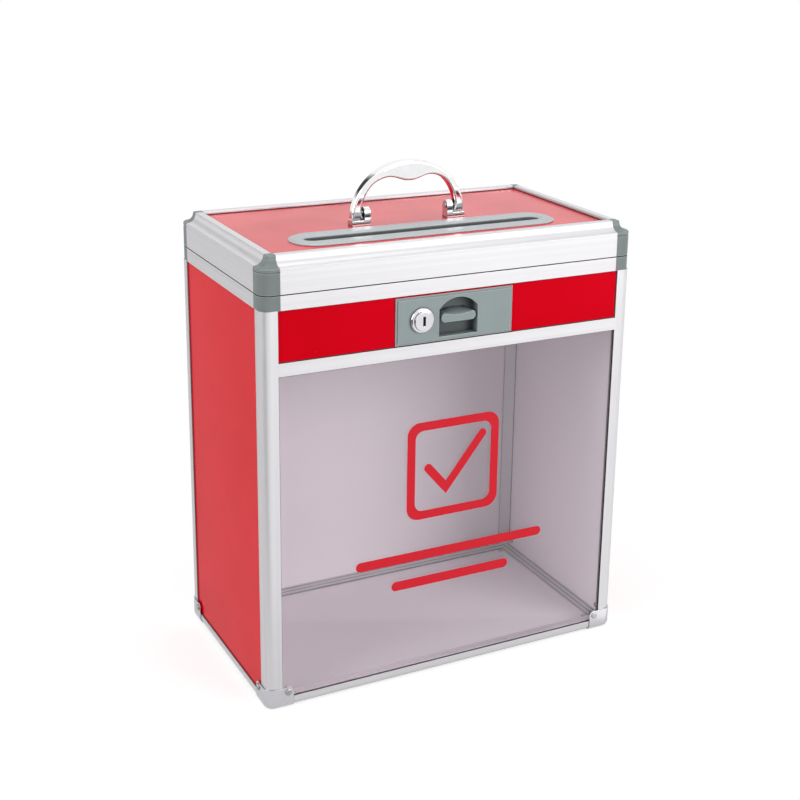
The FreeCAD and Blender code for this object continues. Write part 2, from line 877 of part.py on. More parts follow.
def corner_rivet(place, direction, flush):
    """A rivet through a ball corner's ear and the panel behind it."""
    panel_back = place + direction * panel_inner
    tail = rod(panel_back, panel_back + direction * rivet_tail_height, rivet_tail_radius)
    shank = rod(place, panel_back, rivet_radius)
    if flush:
        head = rod(place - direction * cap_sheet, place, rivet_head_radius)
        return fused([head, shank, tail])
    seat = place - direction * cap_sheet
    head = rod(seat - direction * rivet_head_height, seat, rivet_head_radius)
    rim = [e for e in head.Edges if (e.CenterOfMass - seat).Length > rivet_head_height / 2 and e.Closed]
    head = head.makeFillet(rivet_head_round, rim)
    neck = rod(seat, place, rivet_radius)
    return fused([head, neck, shank, tail])


def corner_rivets():
    """All the rivets of the four ball corners."""
    rivets = []
    for place, direction in corner_rivet_places():
        rivet = corner_rivet(place, direction, direction.z > 0)
        rivets += list(four_corners(rivet).values())
    return Part.makeCompound(rivets)


def drill_for_corner_rivets(shape):
    """Cuts the holes that the ball corner rivets pass through."""
    for place, direction in corner_rivet_places():
        start = place - direction * cut_overrun
        hole = rod(start, place + direction * (panel_inner + cut_overrun), rivet_radius + hole_play)
        for copy in four_corners(hole).values():
            shape = shape.cut(copy)
    return shape


def ear_outline(place):
    """The outline of a cap's upright face: a low skirt with a round ear at its end."""
    shoulder = math.sqrt(ear_radius ** 2 - (cap_skirt_height - ear_height) ** 2)
    slant = ear_radius * math.sqrt(0.5)
    far = ear_reach + ear_radius
    top = cap_skirt_height + cap_edge_strip
    steps = [
        (-cap_edge_strip, -cap_edge_strip),
        (far, -cap_edge_strip),
        (far, ear_height),
        ((ear_reach + slant, ear_height + slant), (ear_reach - shoulder, cap_skirt_height)),
        (cap_inner_strip, cap_skirt_height),
        (cap_inner_strip, top),
        (-cap_edge_strip, top),
    ]
    return outline(steps, place)


def floor_ear_outline(place):
    """The outline of a cap's bottom face, with its ear on the diagonal."""
    far = ear_reach + ear_radius
    slant = ear_radius * math.sqrt(0.5)
    tip = floor_ear_reach + slant
    steps = [
        (-cap_edge_strip, -cap_edge_strip),
        (far, -cap_edge_strip),
        (far, cap_inner_strip),
        (floor_ear_reach + ear_radius, floor_ear_reach),
        ((tip, tip), (floor_ear_reach, floor_ear_reach + ear_radius)),
        (cap_inner_strip, far),
        (-cap_edge_strip, far),
    ]
    return outline(steps, place)


def ball_corners(envelope):
    """Four pressed metal caps round the bottom corners."""
    shell = body_envelope(cap_sheet).cut(envelope)
    depth = 2 * (ear_reach + ear_radius)
    x, y = -half_width, -half_depth
    front = ear_outline(lambda a, up: V(x + a, y - cut_overrun, up)).extrude(V(0, depth, 0))
    left = ear_outline(lambda a, up: V(x - cut_overrun, y + a, up)).extrude(V(depth, 0, 0))
    floor = floor_ear_outline(lambda a, b: V(x + a, y + b, -cut_overrun)).extrude(V(0, 0, depth))
    cap = shell.common(front).common(left).common(floor)
    place, direction = corner_rivet_places()[2]
    start = place - direction * cut_overrun
    cap = cap.cut(rod(start, place + direction * cut_overrun, rivet_head_radius + hole_play))
    cap = drill_for_corner_rivets(cap)
    return {"ball_corner_" + name: shape for name, shape in four_corners(cap).items()}


def recess_outline(grow, y):
    """The arch-topped outline of the thumb recess, grown by a wall."""
    half = recess_width / 2 + grow
    low = recess_bottom - grow
    shoulder = recess_top - recess_arch_rise + grow
    steps = [(-half, low), (half, low), (half, shoulder), ((0, recess_top + grow), (-half, shoulder))]
    return outline(steps, lambda a, level: V(recess_x + a, y, level))


def lock_plate():
    """The lock's front plate with its thumb recess, lever lugs and spring shelf."""
    half = plate_length / 2
    x = (fittings_x - half, fittings_x + half)
    z = (plate_bottom, plate_bottom + plate_height)
    flange = block(x, (flange_face, strip_face), z)
    inner_x = (x[0] + plate_inset, x[1] - plate_inset)
    inner_z = (z[0] + plate_inset, z[1] - plate_inset)
    raised = block(inner_x, (plate_face, flange_face), inner_z)
    cup = recess_outline(cup_wall, flange_face).extrude(V(0, cup_back - flange_face, 0))
    opening = block(
        (recess_x - lug_inner, recess_x + lug_inner),
        (recess_back - cut_overrun, cup_back + cut_overrun),
        (lever_level - lever_opening_height / 2, lever_level + lever_opening_height / 2),
    )
    recess = recess_outline(0, plate_face - cut_overrun).extrude(V(0, recess_depth + cut_overrun, 0))
    plate = fused([flange, raised, cup]).cut(recess).cut(opening)
    lugs = []
    for side in (-1, 1):
        lug_x = sorted([recess_x + side * lug_inner, recess_x + side * lug_outer])
        lug_y = (cup_back - cup_wall / 2, lever_pivot_y + lug_tail)
        lugs.append(block(lug_x, lug_y, (lever_level - lug_height / 2, lever_level + lug_height / 2)))
    shelf = block(
        (recess_x - shelf_half_width, recess_x + shelf_half_width),
        (cup_back - cup_wall / 2, lever_pivot_y),
        (recess_bottom, recess_bottom + shelf_thickness),
    )
    plate = fused([plate, shelf] + lugs)
    pin_reach = lug_outer + cut_overrun
    pin_start = V(recess_x - pin_reach, lever_pivot_y, lever_level)
    pin_end = V(recess_x + pin_reach, lever_pivot_y, lever_level)
    plate = plate.cut(rod(pin_start, pin_end, lever_pin_radius + hole_play))
    start = V(lock_x, plate_face - cut_overrun, plate_level)
    end = V(lock_x, strip_face + cut_overrun, plate_level)
    return plate.cut(rod(start, end, barrel_radius + running_play))


def pad_outline(y, dip):
    """The thumb pad's outline, with round ends and a top that dips in the middle."""
    half = pad_width / 2
    low = lever_level - pad_height / 2
    high = lever_level + pad_height / 2
    inner = half - pad_end_round
    steps = [
        (-inner, low),
        (inner, low),
        ((half, lever_level), (inner, high)),
        ((0, high - dip), (-inner, high)),
        ((-half, lever_level), (-inner, low)),
    ]
    return outline(steps, lambda a, level: V(recess_x + a, y, level)).OuterWire


def latch_lever():
    """The thumb lever: a dished pad that swells to the back, an arm through the plate and a pivot block."""
    front = plate_face - pad_proud
    rear = front + pad_depth
    pad = Part.makeLoft([pad_outline(front, pad_dip), pad_outline(rear, -pad_swell)], True, True)
    arm_half = lever_arm_width / 2
    arm = block(
        (recess_x - arm_half, recess_x + arm_half),
        (front + pad_depth / 2, lever_pivot_y),
        (lever_level - pad_height / 2, lever_level - pad_height / 2 + lever_arm_height - pad_dip),
    )
    pivot = block(
        (recess_x - arm_half, recess_x + arm_half),
        (lever_pivot_y - lever_block_front, lever_block_end),
        (lever_level - lever_block_height / 2, lever_block_top),
    )
    bore_start = V(recess_x - pad_width / 2, lever_pivot_y, lever_level)
    bore_end = V(recess_x + pad_width / 2, lever_pivot_y, lever_level)
    return fused([pad, arm, pivot]).cut(rod(bore_start, bore_end, lever_pin_radius + running_play))


def latch_hook():
    """A bent steel hook on the lever's pivot block."""
    half = hook_width / 2
    x = (recess_x - half, recess_x + half)
    foot_front = lever_pivot_y - lever_block_front
    back = lever_block_end - hook_setback
    foot = block(x, (foot_front, back), (lever_block_top, lever_block_top + hook_sheet))
    upright = block(x, (back - hook_sheet, back), (lever_block_top, hook_top))
    nose = block(x, (back - hook_sheet, hook_tip_y), (hook_top - hook_nose_height, hook_top))
    return fused([foot, upright, nose])


def lever_pin():
    """The pin that the lever turns on."""
    reach = lug_outer + lever_pin_end
    start = V(recess_x - reach, lever_pivot_y, lever_level)
    return rod(start, V(recess_x + reach, lever_pivot_y, lever_level), lever_pin_radius)


def lever_spring():
    """A compression spring between the shelf and the lever's block."""
    low = recess_bottom + shelf_thickness + spring_seat_gap + spring_wire
    high = lever_level - lever_block_height / 2 - spring_press_play - spring_wire
    pitch = (high - low) / spring_turns
    y = lever_pivot_y - spring_from_pivot + spring_wire
    helix = Part.makeHelix(pitch, high - low, spring_radius)
    ring = Part.Wire(Part.Circle(V(spring_radius, 0, 0), V(0, 1, 0), spring_wire).toShape())
    coil = Part.Wire(helix.Edges).makePipeShell([ring], True, True)
    coil.translate(V(recess_x, y, low))
    return coil


def strike_plate():
    """A bent plate under the front lid rail: a window for the hook and a tab for the cam."""
    window_half = hook_width / 2 + strike_window_side
    left = lock_x + strike_tab_start
    right = recess_x + window_half + strike_side_margin
    front = -half_depth + strike_front
    flange = block((left, right), (front, strike_rear), (strike_top - strike_sheet, strike_top))
    wall = block((left, right), (strike_y, strike_rear), (strike_bottom, strike_top))
    window = block(
        (recess_x - window_half, recess_x + window_half),
        (strike_y - cut_overrun, strike_rear + cut_overrun),
        (hook_top - hook_nose_height - strike_window_play, hook_top + strike_window_top_play),
    )
    cam_head_low = plate_level + cam_length - cam_head_height
    tab_top = cam_head_low - strike_tab_play
    tab = block(
        (left, lock_x + cam_head_reach),
        (strike_y, strike_rear + strike_tab_depth),
        (tab_top - strike_sheet, tab_top),
    )
    plate = fused([flange, wall, tab]).cut(window)
    for place in strike_rivet_places():
        start = place - V(0, 0, cut_overrun)
        plate = plate.cut(rod(start, place + V(0, 0, cut_overrun), strike_rivet_radius + hole_play))
    return plate


def strike_rivet_places():
    """The points on the lid rail's flange where the strike plate is riveted."""
    window_half = hook_width / 2 + strike_window_side
    middle = (lock_x + strike_tab_start + recess_x + window_half + strike_side_margin) / 2
    y = -half_depth + (strike_front + lip_reach) / 2
    return [V(middle + step * strike_rivet_spacing, y, strike_top) for step in (-1, 0, 1)]


def strike_rivets():
    """The rivets that hold the strike plate."""
    rivets = []
    for place in strike_rivet_places():
        seat = place - V(0, 0, strike_sheet)
        head = rod(seat - V(0, 0, strike_rivet_head_height), seat, strike_rivet_head_radius)
        shank = rod(seat, place + V(0, 0, lid_flange), strike_rivet_radius)
        rivets.append(fused([head, shank]))
    return Part.makeCompound(rivets)


def on_lock(y):
    """A point on the cam lock's axis."""
    return V(lock_x, y, plate_level)


def lock_barrel():
    """The lock's fixed barrel with its collar."""
    collar = rod(on_lock(collar_face), on_lock(plate_face), collar_radius)
    rim = [e for e in collar.Edges if e.Closed and e.BoundBox.YMax < plate_face - collar_height / 2]
    collar = collar.makeFillet(collar_round, rim)
    body = rod(on_lock(plate_face), on_lock(barrel_end), barrel_radius)
    start = on_lock(collar_face - cut_overrun)
    bore = rod(start, on_lock(barrel_end + cut_overrun), plug_radius + running_play)
    return fused([collar, body]).cut(bore)


def lock_plug():
    """The turning plug with its keyway and the stub for the cam."""
    head = rod(on_lock(plug_face), on_lock(collar_face - running_play), plug_head_radius)
    rim = [e for e in head.Edges if e.Closed and e.BoundBox.YMax < plug_face + plug_proud / 2]
    head = head.makeFillet(plug_round, rim)
    plug = rod(on_lock(collar_face - plug_proud / 2), on_lock(barrel_end + cam_gap), plug_radius)
    stub = rod(on_lock(barrel_end), on_lock(cam_rear), stub_radius)
    keyway = block(
        (lock_x - keyway_width / 2, lock_x + keyway_width / 2),
        (plug_face - cut_overrun, plug_face + keyway_depth),
        (plate_level - keyway_height / 2, plate_level + keyway_height / 2),
    )
    return fused([head, plug, stub]).cut(keyway)


def lock_nut():
    """The hexagonal nut behind the front strip."""
    start = strip_face + panel_thickness + nut_gap
    corners = []
    for index in range(6):
        x, z = polar((lock_x, plate_level), nut_radius, math.pi / 3 * index)
        corners.append(V(x, start, z))
    nut = polygon(corners).extrude(V(0, nut_height, 0))
    end = start + nut_height + cut_overrun
    return nut.cut(rod(on_lock(start - cut_overrun), on_lock(end), barrel_radius + hole_play))


def lock_cam():
    """The hook cam, stored pointing left in its unlocked place."""
    hub = rod(on_lock(cam_front), on_lock(cam_rear), cam_hub_radius)
    half = cam_arm_width / 2
    y = (cam_front, cam_rear)
    tip = lock_x - cam_length
    arm = block((tip, lock_x), y, (plate_level - half, plate_level + half))
    head = block((tip, tip + cam_head_height), y, (plate_level - half, plate_level + cam_head_reach))
    hole = rod(on_lock(cam_front - cut_overrun), on_lock(cam_rear + cut_overrun), stub_radius + hole_play)
    return fused([hub, arm, head]).cut(hole)


def cam_screw():
    """The screw head that keeps the cam on the plug."""
    return rod(on_lock(cam_rear), on_lock(cam_rear + cam_screw_head_height), cam_screw_head_radius)


def all_parts():
    """Every node of the box by name."""
    envelope = body_envelope(0)
    parts = {}
    for side in ("left", "right", "rear"):
        parts[side + "_panel"] = drill_for_corner_rivets(wall_panel(side))
    parts["floor_panel"] = drill_for_corner_rivets(floor_panel())
    parts["window"] = drill_for_corner_rivets(front_window())
    parts["front_strip"] = front_strip()
    parts["mid_rail"] = mid_rail()
    parts.update(corner_posts(envelope))
    parts.update(bottom_rails(envelope))
    parts.update(rim_rails())
    parts.update(rim_corners())
    parts.update(ball_corners(envelope))
    parts["corner_rivets"] = corner_rivets()
    parts.update(rear_hinges())
    body_holes = [p for m in (-hinge_offset, hinge_offset) for p in hinge_rivet_places(m, False)]
    parts["rim_rail_rear"] = drill_holes(parts["rim_rail_rear"], body_holes, hinge_rivet_radius)
    parts["hinge_body_rivets"] = hinge_rivets(False, skin)
    parts["lid_panel"] = lid_panel()
    parts.update(lid_rails())
    lid_holes = [p for m in (-hinge_offset, hinge_offset) for p in hinge_rivet_places(m, True)]
    parts["lid_rail_rear"] = drill_holes(parts["lid_rail_rear"], lid_holes, hinge_rivet_radius)
    parts["hinge_lid_rivets"] = hinge_rivets(True, lid_skin)
    for place in strike_rivet_places():
        end = place + V(0, 0, 2 * lid_flange)
        hole = rod(place - V(0, 0, lid_flange), end, strike_rivet_radius + hole_play)
        parts["lid_rail_front"] = parts["lid_rail_front"].cut(hole)
    parts.update(lid_corners())
    parts["slot_bezel"] = slot_bezel()
    bracket = handle_bracket()
    parts["handle_bracket_left"] = bracket
    parts["handle_bracket_right"] = mirrored_fitting(bracket)
    parts["handle_pins"] = handle_pins()
    parts["bracket_screws"] = bracket_screws()
    parts["handle"] = carrying_handle()
    parts["strike_plate"] = strike_plate()
    parts["strike_rivets"] = strike_rivets()
    parts["lock_plate"] = lock_plate()
    parts["lock_barrel"] = lock_barrel()
    parts["lock_nut"] = lock_nut()
    parts["lock_plug"] = lock_plug()
    parts["lock_cam"] = lock_cam()
    parts["cam_screw"] = cam_screw()
    parts["latch_lever"] = latch_lever()
    parts["latch_hook"] = latch_hook()
    parts["lever_pin"] = lever_pin()
    parts["lever_spring"] = lever_spring()
    return parts


def main():
    """Writes one STEP file per node."""
    os.makedirs("parts", exist_ok=True)
    for name, shape in all_parts().items():
        solids = shape.Solids
        bad = [s for s in solids if not s.isValid()]
        print(name, len(solids), "solids", round(shape.Volume), "mm3", "INVALID" if bad else "")
        shape.exportStep("parts/" + name + ".step")


main()
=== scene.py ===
"""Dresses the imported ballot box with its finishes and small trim, and sets a studio around it."""

import json
import logging
import math
from dataclasses import dataclass
from enum import Enum
from typing import Any

import bmesh
import bpy
from mathutils import Matrix, Vector

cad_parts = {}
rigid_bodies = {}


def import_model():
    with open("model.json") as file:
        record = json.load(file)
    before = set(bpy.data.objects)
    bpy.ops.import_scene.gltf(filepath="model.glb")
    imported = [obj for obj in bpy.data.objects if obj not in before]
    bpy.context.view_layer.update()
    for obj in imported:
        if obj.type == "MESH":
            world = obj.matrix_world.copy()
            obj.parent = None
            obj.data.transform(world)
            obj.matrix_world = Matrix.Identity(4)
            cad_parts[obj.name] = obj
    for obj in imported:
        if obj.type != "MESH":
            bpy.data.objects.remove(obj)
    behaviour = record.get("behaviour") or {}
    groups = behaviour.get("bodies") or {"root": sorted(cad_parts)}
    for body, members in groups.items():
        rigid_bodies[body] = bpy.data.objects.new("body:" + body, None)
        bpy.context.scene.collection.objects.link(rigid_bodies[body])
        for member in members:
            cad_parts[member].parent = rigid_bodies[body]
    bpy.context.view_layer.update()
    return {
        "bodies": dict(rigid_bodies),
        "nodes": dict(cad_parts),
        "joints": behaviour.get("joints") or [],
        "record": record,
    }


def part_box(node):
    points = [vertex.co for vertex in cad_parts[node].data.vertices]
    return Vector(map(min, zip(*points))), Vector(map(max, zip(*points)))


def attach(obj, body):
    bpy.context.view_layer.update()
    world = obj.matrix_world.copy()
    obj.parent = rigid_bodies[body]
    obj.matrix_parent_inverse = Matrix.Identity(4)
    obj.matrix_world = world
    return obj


LOG = logging.getLogger("ballot_box")
MM = 0.001

Colour = tuple[float, float, float, float]
Point = tuple[float, float]
Corner = tuple[float, float, float]

WHITE: Colour = (1.0, 1.0, 1.0, 1.0)
FACING_COSINE = 0.7
EDGE_FADE: Point = (0.985, 0.88)
CREVICE_FADE: Point = (0.80, 0.35)


class Facing(Enum):
    """The side of a board that carries the red laminate."""

    LEFT = (-1.0, 0.0, 0.0)
    RIGHT = (1.0, 0.0, 0.0)
    FRONT = (0.0, -1.0, 0.0)
    REAR = (0.0, 1.0, 0.0)
    TOP = (0.0, 0.0, 1.0)
    UNDERSIDE = (0.0, 0.0, -1.0)


class Grain(Enum):
    """The direction of the drawn lines on an extrusion, as a stretch of its coordinates."""

    ALONG_X = (2.0, 420.0, 420.0)
    ALONG_Y = (420.0, 2.0, 420.0)
    ALONG_Z = (420.0, 420.0, 2.0)


class Graph:
    """A material's node tree, with short calls that add and link its nodes."""

    def __init__(self, name: str) -> None:
        """Starts an empty material of that name."""
        self.material = bpy.data.materials.new(name)
        self.material.use_nodes = True
        self.tree = self.material.node_tree
        self.tree.nodes.clear()

    def add(self, kind: str, inputs: dict[Any, Any], **settings: Any) -> bpy.types.Node:
        """Adds a node and fills its inputs.

        Args:
            kind: the node's type, without the ShaderNode in front.
            inputs: values or sockets, by the input's name or number.
            settings: the node's own properties.

        Returns:
            The new node.
        """
        node = self.tree.nodes.new("ShaderNode" + kind)
        for key, value in settings.items():
            setattr(node, key, value)
        for key, value in inputs.items():
            if isinstance(value, bpy.types.NodeSocket):
                self.tree.links.new(value, node.inputs[key])
            else:
                node.inputs[key].default_value = value
        return node

    def place(self) -> bpy.types.NodeSocket:
        """The surface point in the part's own frame."""
        return self.add("TexCoord", {}).outputs["Object"]

    def stretched(self, place: bpy.types.NodeSocket, scale: Corner) -> bpy.types.NodeSocket:
        """The surface point with each axis scaled on its own."""
        return self.add("Mapping", {"Vector": place, "Scale": scale}).outputs[0]

    def noise(self, place: bpy.types.NodeSocket, scale: float, detail: float) -> bpy.types.NodeSocket:
        """Soft noise from 0 to 1 at that scale."""
        inputs = {"Vector": place, "Scale": scale, "Detail": detail}
        return self.add("TexNoise", inputs).outputs[0]

    def span(self, value: Any, low: float, high: float, start: float, end: float) -> bpy.types.NodeSocket:
        """Maps a value between low and high to between start and end.

        Args:
            value: the socket to map.
            low: the value that becomes start.
            high: the value that becomes end.
            start: the result at low.
            end: the result at high.

        Returns:
            The mapped socket, kept between start and end.
        """
        inputs = {0: value, 1: low, 2: high, 3: start, 4: end}
        return self.add("MapRange", inputs).outputs[0]

    def blend(self, factor: Any, first: Any, second: Any) -> bpy.types.NodeSocket:
        """A colour between first, at factor 0, and second, at factor 1."""
        inputs = {0: factor, 6: first, 7: second}
        return self.add("Mix", inputs, data_type="RGBA").outputs[2]

    def between(self, factor: Any, first: Any, second: Any) -> bpy.types.NodeSocket:
        """A number between first, at factor 0, and second, at factor 1."""
        return self.add("Mix", {0: factor, 2: first, 3: second}, data_type="FLOAT").outputs[0]

    def faces(self, direction: Corner) -> bpy.types.NodeSocket:
        """A mask that is 1 on the faces that look that way, and 0 elsewhere."""
        normal = self.add("TexCoord", {}).outputs["Normal"]
        along = self.add("VectorMath", {0: normal, 1: direction}, operation="DOT_PRODUCT")
        inputs = {0: along.outputs["Value"], 1: FACING_COSINE}
        return self.add("Math", inputs, operation="GREATER_THAN").outputs[0]

    def specks(self, place: bpy.types.NodeSocket, scale: float, size: float) -> bpy.types.NodeSocket:
        """A mask of scattered dust specks.

        Args:
            place: the surface point.
            scale: how many cells there are to a metre.
            size: a speck's radius, as a share of its cell.

        Returns:
            A mask that is 1 on a speck.
        """
        cells = self.add("TexVoronoi", {"Vector": place, "Scale": scale})
        return self.span(cells.outputs["Distance"], size, size * 1.6, 1.0, 0.0)

    def rounded(self, radius: float) -> bpy.types.NodeSocket:
        """The surface normal with edges eased to that radius."""
        return self.add("Bevel", {"Radius": radius}, samples=6).outputs[0]

    def edges(self, radius: float) -> bpy.types.NodeSocket:
        """A mask that is 1 along sharp edges."""
        eased = self.rounded(radius)
        plain = self.add("NewGeometry", {}).outputs["Normal"]
        match = self.add("VectorMath", {0: eased, 1: plain}, operation="DOT_PRODUCT")
        return self.span(match.outputs["Value"], *EDGE_FADE, 0.0, 1.0)

    def shade_in_crevices(self, reach: float) -> bpy.types.NodeSocket:
        """A mask that is 1 in narrow corners, where another surface is closer than that reach; it places
        painted shade.
        """
        open_share = self.add("AmbientOcclusion", {"Distance": reach}, samples=8).outputs["AO"]
        return self.span(open_share, *CREVICE_FADE, 0.0, 1.0)

    def bump(self, height: Any, depth: float, normal: Any) -> bpy.types.NodeSocket:
        """A bumped normal, from a height between 0 and 1 and its depth in metres."""
        inputs = {"Height": height, "Distance": depth, "Normal": normal}
        return self.add("Bump", inputs).outputs[0]

    def surface(self, inputs: dict[str, Any]) -> bpy.types.Material:
        """Closes the tree with one Principled shader.

        Args:
            inputs: values or sockets for the shader.

        Returns:
            The finished material.
        """
        shader = self.add("BsdfPrincipled", inputs)
        return self.close(shader.outputs[0])

    def close(self, shader: bpy.types.NodeSocket) -> bpy.types.Material:
        """Links a shader to the output and returns the material."""
        self.add("OutputMaterial", {"Surface": shader})
        return self.material


@dataclass(frozen=True)
class RedBoard:
    """A board with red laminate on its outside and pale lining paper inside."""

    facing: Facing
    gloss: float = 0.05
    laminate: Colour = (0.760, 0.0, 0.012, 1.0)
    laminate_deep: Colour = (0.680, 0.0, 0.008, 1.0)
    dust: Colour = (0.82, 0.10, 0.13, 1.0)
    lining: Colour = (0.90, 0.83, 0.875, 1.0)
    lining_deep: Colour = (0.87, 0.80, 0.845, 1.0)
    core: Colour = (0.30, 0.20, 0.13, 1.0)
    core_deep: Colour = (0.20, 0.13, 0.08, 1.0)

    def material(self) -> bpy.types.Material:
        """Builds the board's material."""
        graph = Graph(f"red_board_{self.facing.name.lower()}")
        place = graph.place()
        cloud = graph.noise(place, 11.0, 3.0)
        fibre = graph.noise(place, 420.0, 5.0)
        outside = graph.faces(self.facing.value)
        inside = graph.faces(tuple(-part for part in self.facing.value))
        laminate = graph.blend(graph.span(cloud, 0.3, 0.7, 0.0, 1.0), self.laminate, self.laminate_deep)
        laminate = graph.blend(graph.specks(place, 60.0, 0.020), laminate, self.dust)
        lining = graph.blend(fibre, self.lining, self.lining_deep)
        core = graph.blend(fibre, self.core, self.core_deep)
        colour = graph.blend(inside, core, lining)
        colour = graph.blend(outside, colour, laminate)
        shine = graph.span(cloud, 0.3, 0.7, 0.16, 0.24)
        dull = graph.span(fibre, 0.3, 0.7, 0.50, 0.62)
        peel = graph.noise(place, 240.0, 2.0)
        return graph.surface(
            {
                "Base Color": colour,
                "Roughness": graph.between(outside, dull, shine),
                "Specular IOR Level": self.gloss,
                "Normal": graph.bump(peel, 0.00002, graph.rounded(0.0003)),
            }
        )


@dataclass(frozen=True)
class ClearAcrylic:
    """Clear cast acrylic with faint handling marks; lamps shine through it."""

    tint: Colour = (0.985, 0.975, 0.985, 1.0)
    through: Colour = (0.95, 0.94, 0.95, 1.0)

    def material(self) -> bpy.types.Material:
        """Builds the sheet's material."""
        graph = Graph("clear_acrylic")
        place = graph.place()
        smear = graph.noise(place, 26.0, 4.0)
        scratch = graph.noise(graph.stretched(place, (60.0, 1.0, 900.0)), 1.0, 2.0)
        glass = graph.add(
            "BsdfPrincipled",
            {
                "Base Color": self.tint,
                "Transmission Weight": 1.0,
                "IOR": 1.49,
                "Roughness": graph.span(smear, 0.45, 0.75, 0.0, 0.03),
                "Normal": graph.bump(scratch, 0.000001, graph.rounded(0.0002)),
            },
        )
        clear = graph.add("BsdfTransparent", {"Color": self.through})
        path = graph.add("LightPath", {})
        soft = graph.add(
            "Math",
            {0: path.outputs["Is Shadow Ray"], 1: path.outputs["Is Diffuse Ray"]},
            operation="MAXIMUM",
        )
        mixed = graph.add("MixShader", {0: soft.outputs[0], 1: glass.outputs[0], 2: clear.outputs[0]})
        return graph.close(mixed.outputs[0])


@dataclass(frozen=True)
class SatinAluminium:
    """Anodised aluminium extrusion with drawn lines along its length."""

    grain: Grain
    bright: Colour = (0.745, 0.735, 0.755, 1.0)
    deep: Colour = (0.700, 0.690, 0.710, 1.0)
    wear_and_painted_edge_light: Colour = (0.86, 0.86, 0.87, 1.0)
    crevice_shade: Colour = (0.17, 0.16, 0.165, 1.0)
    inner_painted_tone: Colour = (0.60, 0.585, 0.605, 1.0)
    rib_painted_tone: Colour = (0.20, 0.195, 0.205, 1.0)
    rib_pitch: float = 0.0042
    rib_share: float = 0.2
    easing: float = 0.0005
    reach: float = 0.0040
    metal_share: float = 0.5
    cavity: Corner = (0.1747, 0.0957, 0.3635)

    def inside(self, graph: Graph, place: bpy.types.NodeSocket) -> bpy.types.NodeSocket:
        """A mask that is 1 on the faces inside the box, which take their own painted tone: painted shade on
        most rails, painted light on the front sill.

        Args:
            graph: the material's tree.
            place: the surface point.

        Returns:
            The mask.
        """
        spread = graph.add("VectorMath", {0: place}, operation="ABSOLUTE").outputs[0]
        parts = graph.add("SeparateXYZ", {0: spread}).outputs
        mask: Any = 1.0
        for part, limit in zip(parts, self.cavity):
            near = graph.add("Math", {0: part, 1: limit}, operation="LESS_THAN").outputs[0]
            mask = graph.add("Math", {0: mask, 1: near}, operation="MULTIPLY").outputs[0]
        return mask

    def ribs(self, graph: Graph, place: bpy.types.NodeSocket) -> bpy.types.NodeSocket:
        """A mask that is 1 along fine lines on the inner flanges, where the shade of grooves is painted.

        Args:
            graph: the material's tree.
            place: the surface point.

        Returns:
            The mask.
        """
        across = tuple(float(stretch > 2.0) for stretch in self.grain.value)
        level = (across[0], across[1], 0.0)
        spread = graph.add("VectorMath", {0: place}, operation="ABSOLUTE").outputs[0]
        depth = graph.add("VectorMath", {0: spread, 1: level}, operation="DOT_PRODUCT").outputs["Value"]
        turns = graph.add("Math", {0: depth, 1: self.rib_pitch}, operation="DIVIDE").outputs[0]
        phase = graph.add("Math", {0: turns}, operation="FRACT").outputs[0]
        return graph.add("Math", {0: phase, 1: self.rib_share}, operation="LESS_THAN").outputs[0]

    def material(self) -> bpy.types.Material:
        """Builds the extrusion's material."""
        graph = Graph(f"satin_aluminium_{self.grain.name.lower()}")
        place = graph.place()
        drawn = graph.stretched(place, self.grain.value)
        lines = graph.noise(drawn, 1.0, 3.0)
        fine = graph.noise(drawn, 7.0, 2.0)
        stain = graph.noise(place, 30.0, 3.0)
        colour = graph.blend(graph.span(lines, 0.35, 0.65, 0.0, 1.0), self.bright, self.deep)
        # painted highlight: eased edges take a lighter tone
        colour = graph.blend(graph.edges(self.easing), colour, self.wear_and_painted_edge_light)
        # painted shade: darker where another surface is near, in crevices and along the floor contact
        colour = graph.blend(graph.shade_in_crevices(self.reach), colour, self.crevice_shade)
        # painted tone inside the box: painted shade with dark groove lines on most rails, painted light on
        # the front sill
        inner_painted_tone = graph.blend(self.ribs(graph, place), self.inner_painted_tone, self.rib_painted_tone)
        colour = graph.blend(self.inside(graph, place), colour, inner_painted_tone)
        roughness = graph.add(
            "Math",
            {0: graph.span(fine, 0.3, 0.7, 0.36, 0.46), 1: graph.span(stain, 0.3, 0.7, -0.02, 0.04)},
            operation="ADD",
        )
        height = graph.between(0.4, lines, fine)
        return graph.surface(
            {
                "Base Color": colour,
                "Metallic": self.metal_share,
                "Roughness": roughness.outputs[0],
                "Normal": graph.bump(height, 0.000004, graph.rounded(0.0003)),
            }
        )


@dataclass(frozen=True)
class GreyPlastic:
    """Moulded plastic with a fine spark texture, painted highlights on its edges and painted shade deep
    along Y.
    """

    label: str
    body: Colour
    body_deep: Colour
    painted_edge_highlight: Colour
    recess_shade: Colour = (0.10, 0.12, 0.12, 1.0)
    crevice_shade: Colour = (0.05, 0.055, 0.055, 1.0)
    sheen: float = 0.5
    easing: float = 0.0008
    reach: float = 0.0030
    recess_shade_from: float = 1.0
    recess_shade_to: float = 2.0

    def material(self) -> bpy.types.Material:
        """Builds the moulding's material, with painted shade deep in its recess."""
        graph = Graph(self.label)
        place = graph.place()
        cloud = graph.noise(place, 45.0, 3.0)
        spark = graph.noise(place, 1500.0, 3.0)
        colour = graph.blend(cloud, self.body, self.body_deep)
        # painted highlight: eased edges take a lighter tone
        colour = graph.blend(graph.edges(self.easing), colour, self.painted_edge_highlight)
        # painted shade: darker where another surface is near, in crevices
        colour = graph.blend(graph.shade_in_crevices(self.reach), colour, self.crevice_shade)
        # painted shade: darker the deeper the face lies along Y, inside the recess
        depth = graph.add("SeparateXYZ", {0: place}).outputs["Y"]
        shade = graph.span(depth, self.recess_shade_from, self.recess_shade_to, 0.0, 1.0)
        colour = graph.blend(shade, colour, self.recess_shade)
        return graph.surface(
            {
                "Base Color": colour,
                "Roughness": graph.span(spark, 0.3, 0.7, 0.34, 0.50),
                "Specular IOR Level": self.sheen,
                "Normal": graph.bump(spark, 0.00002, graph.rounded(0.0005)),
            }
        )


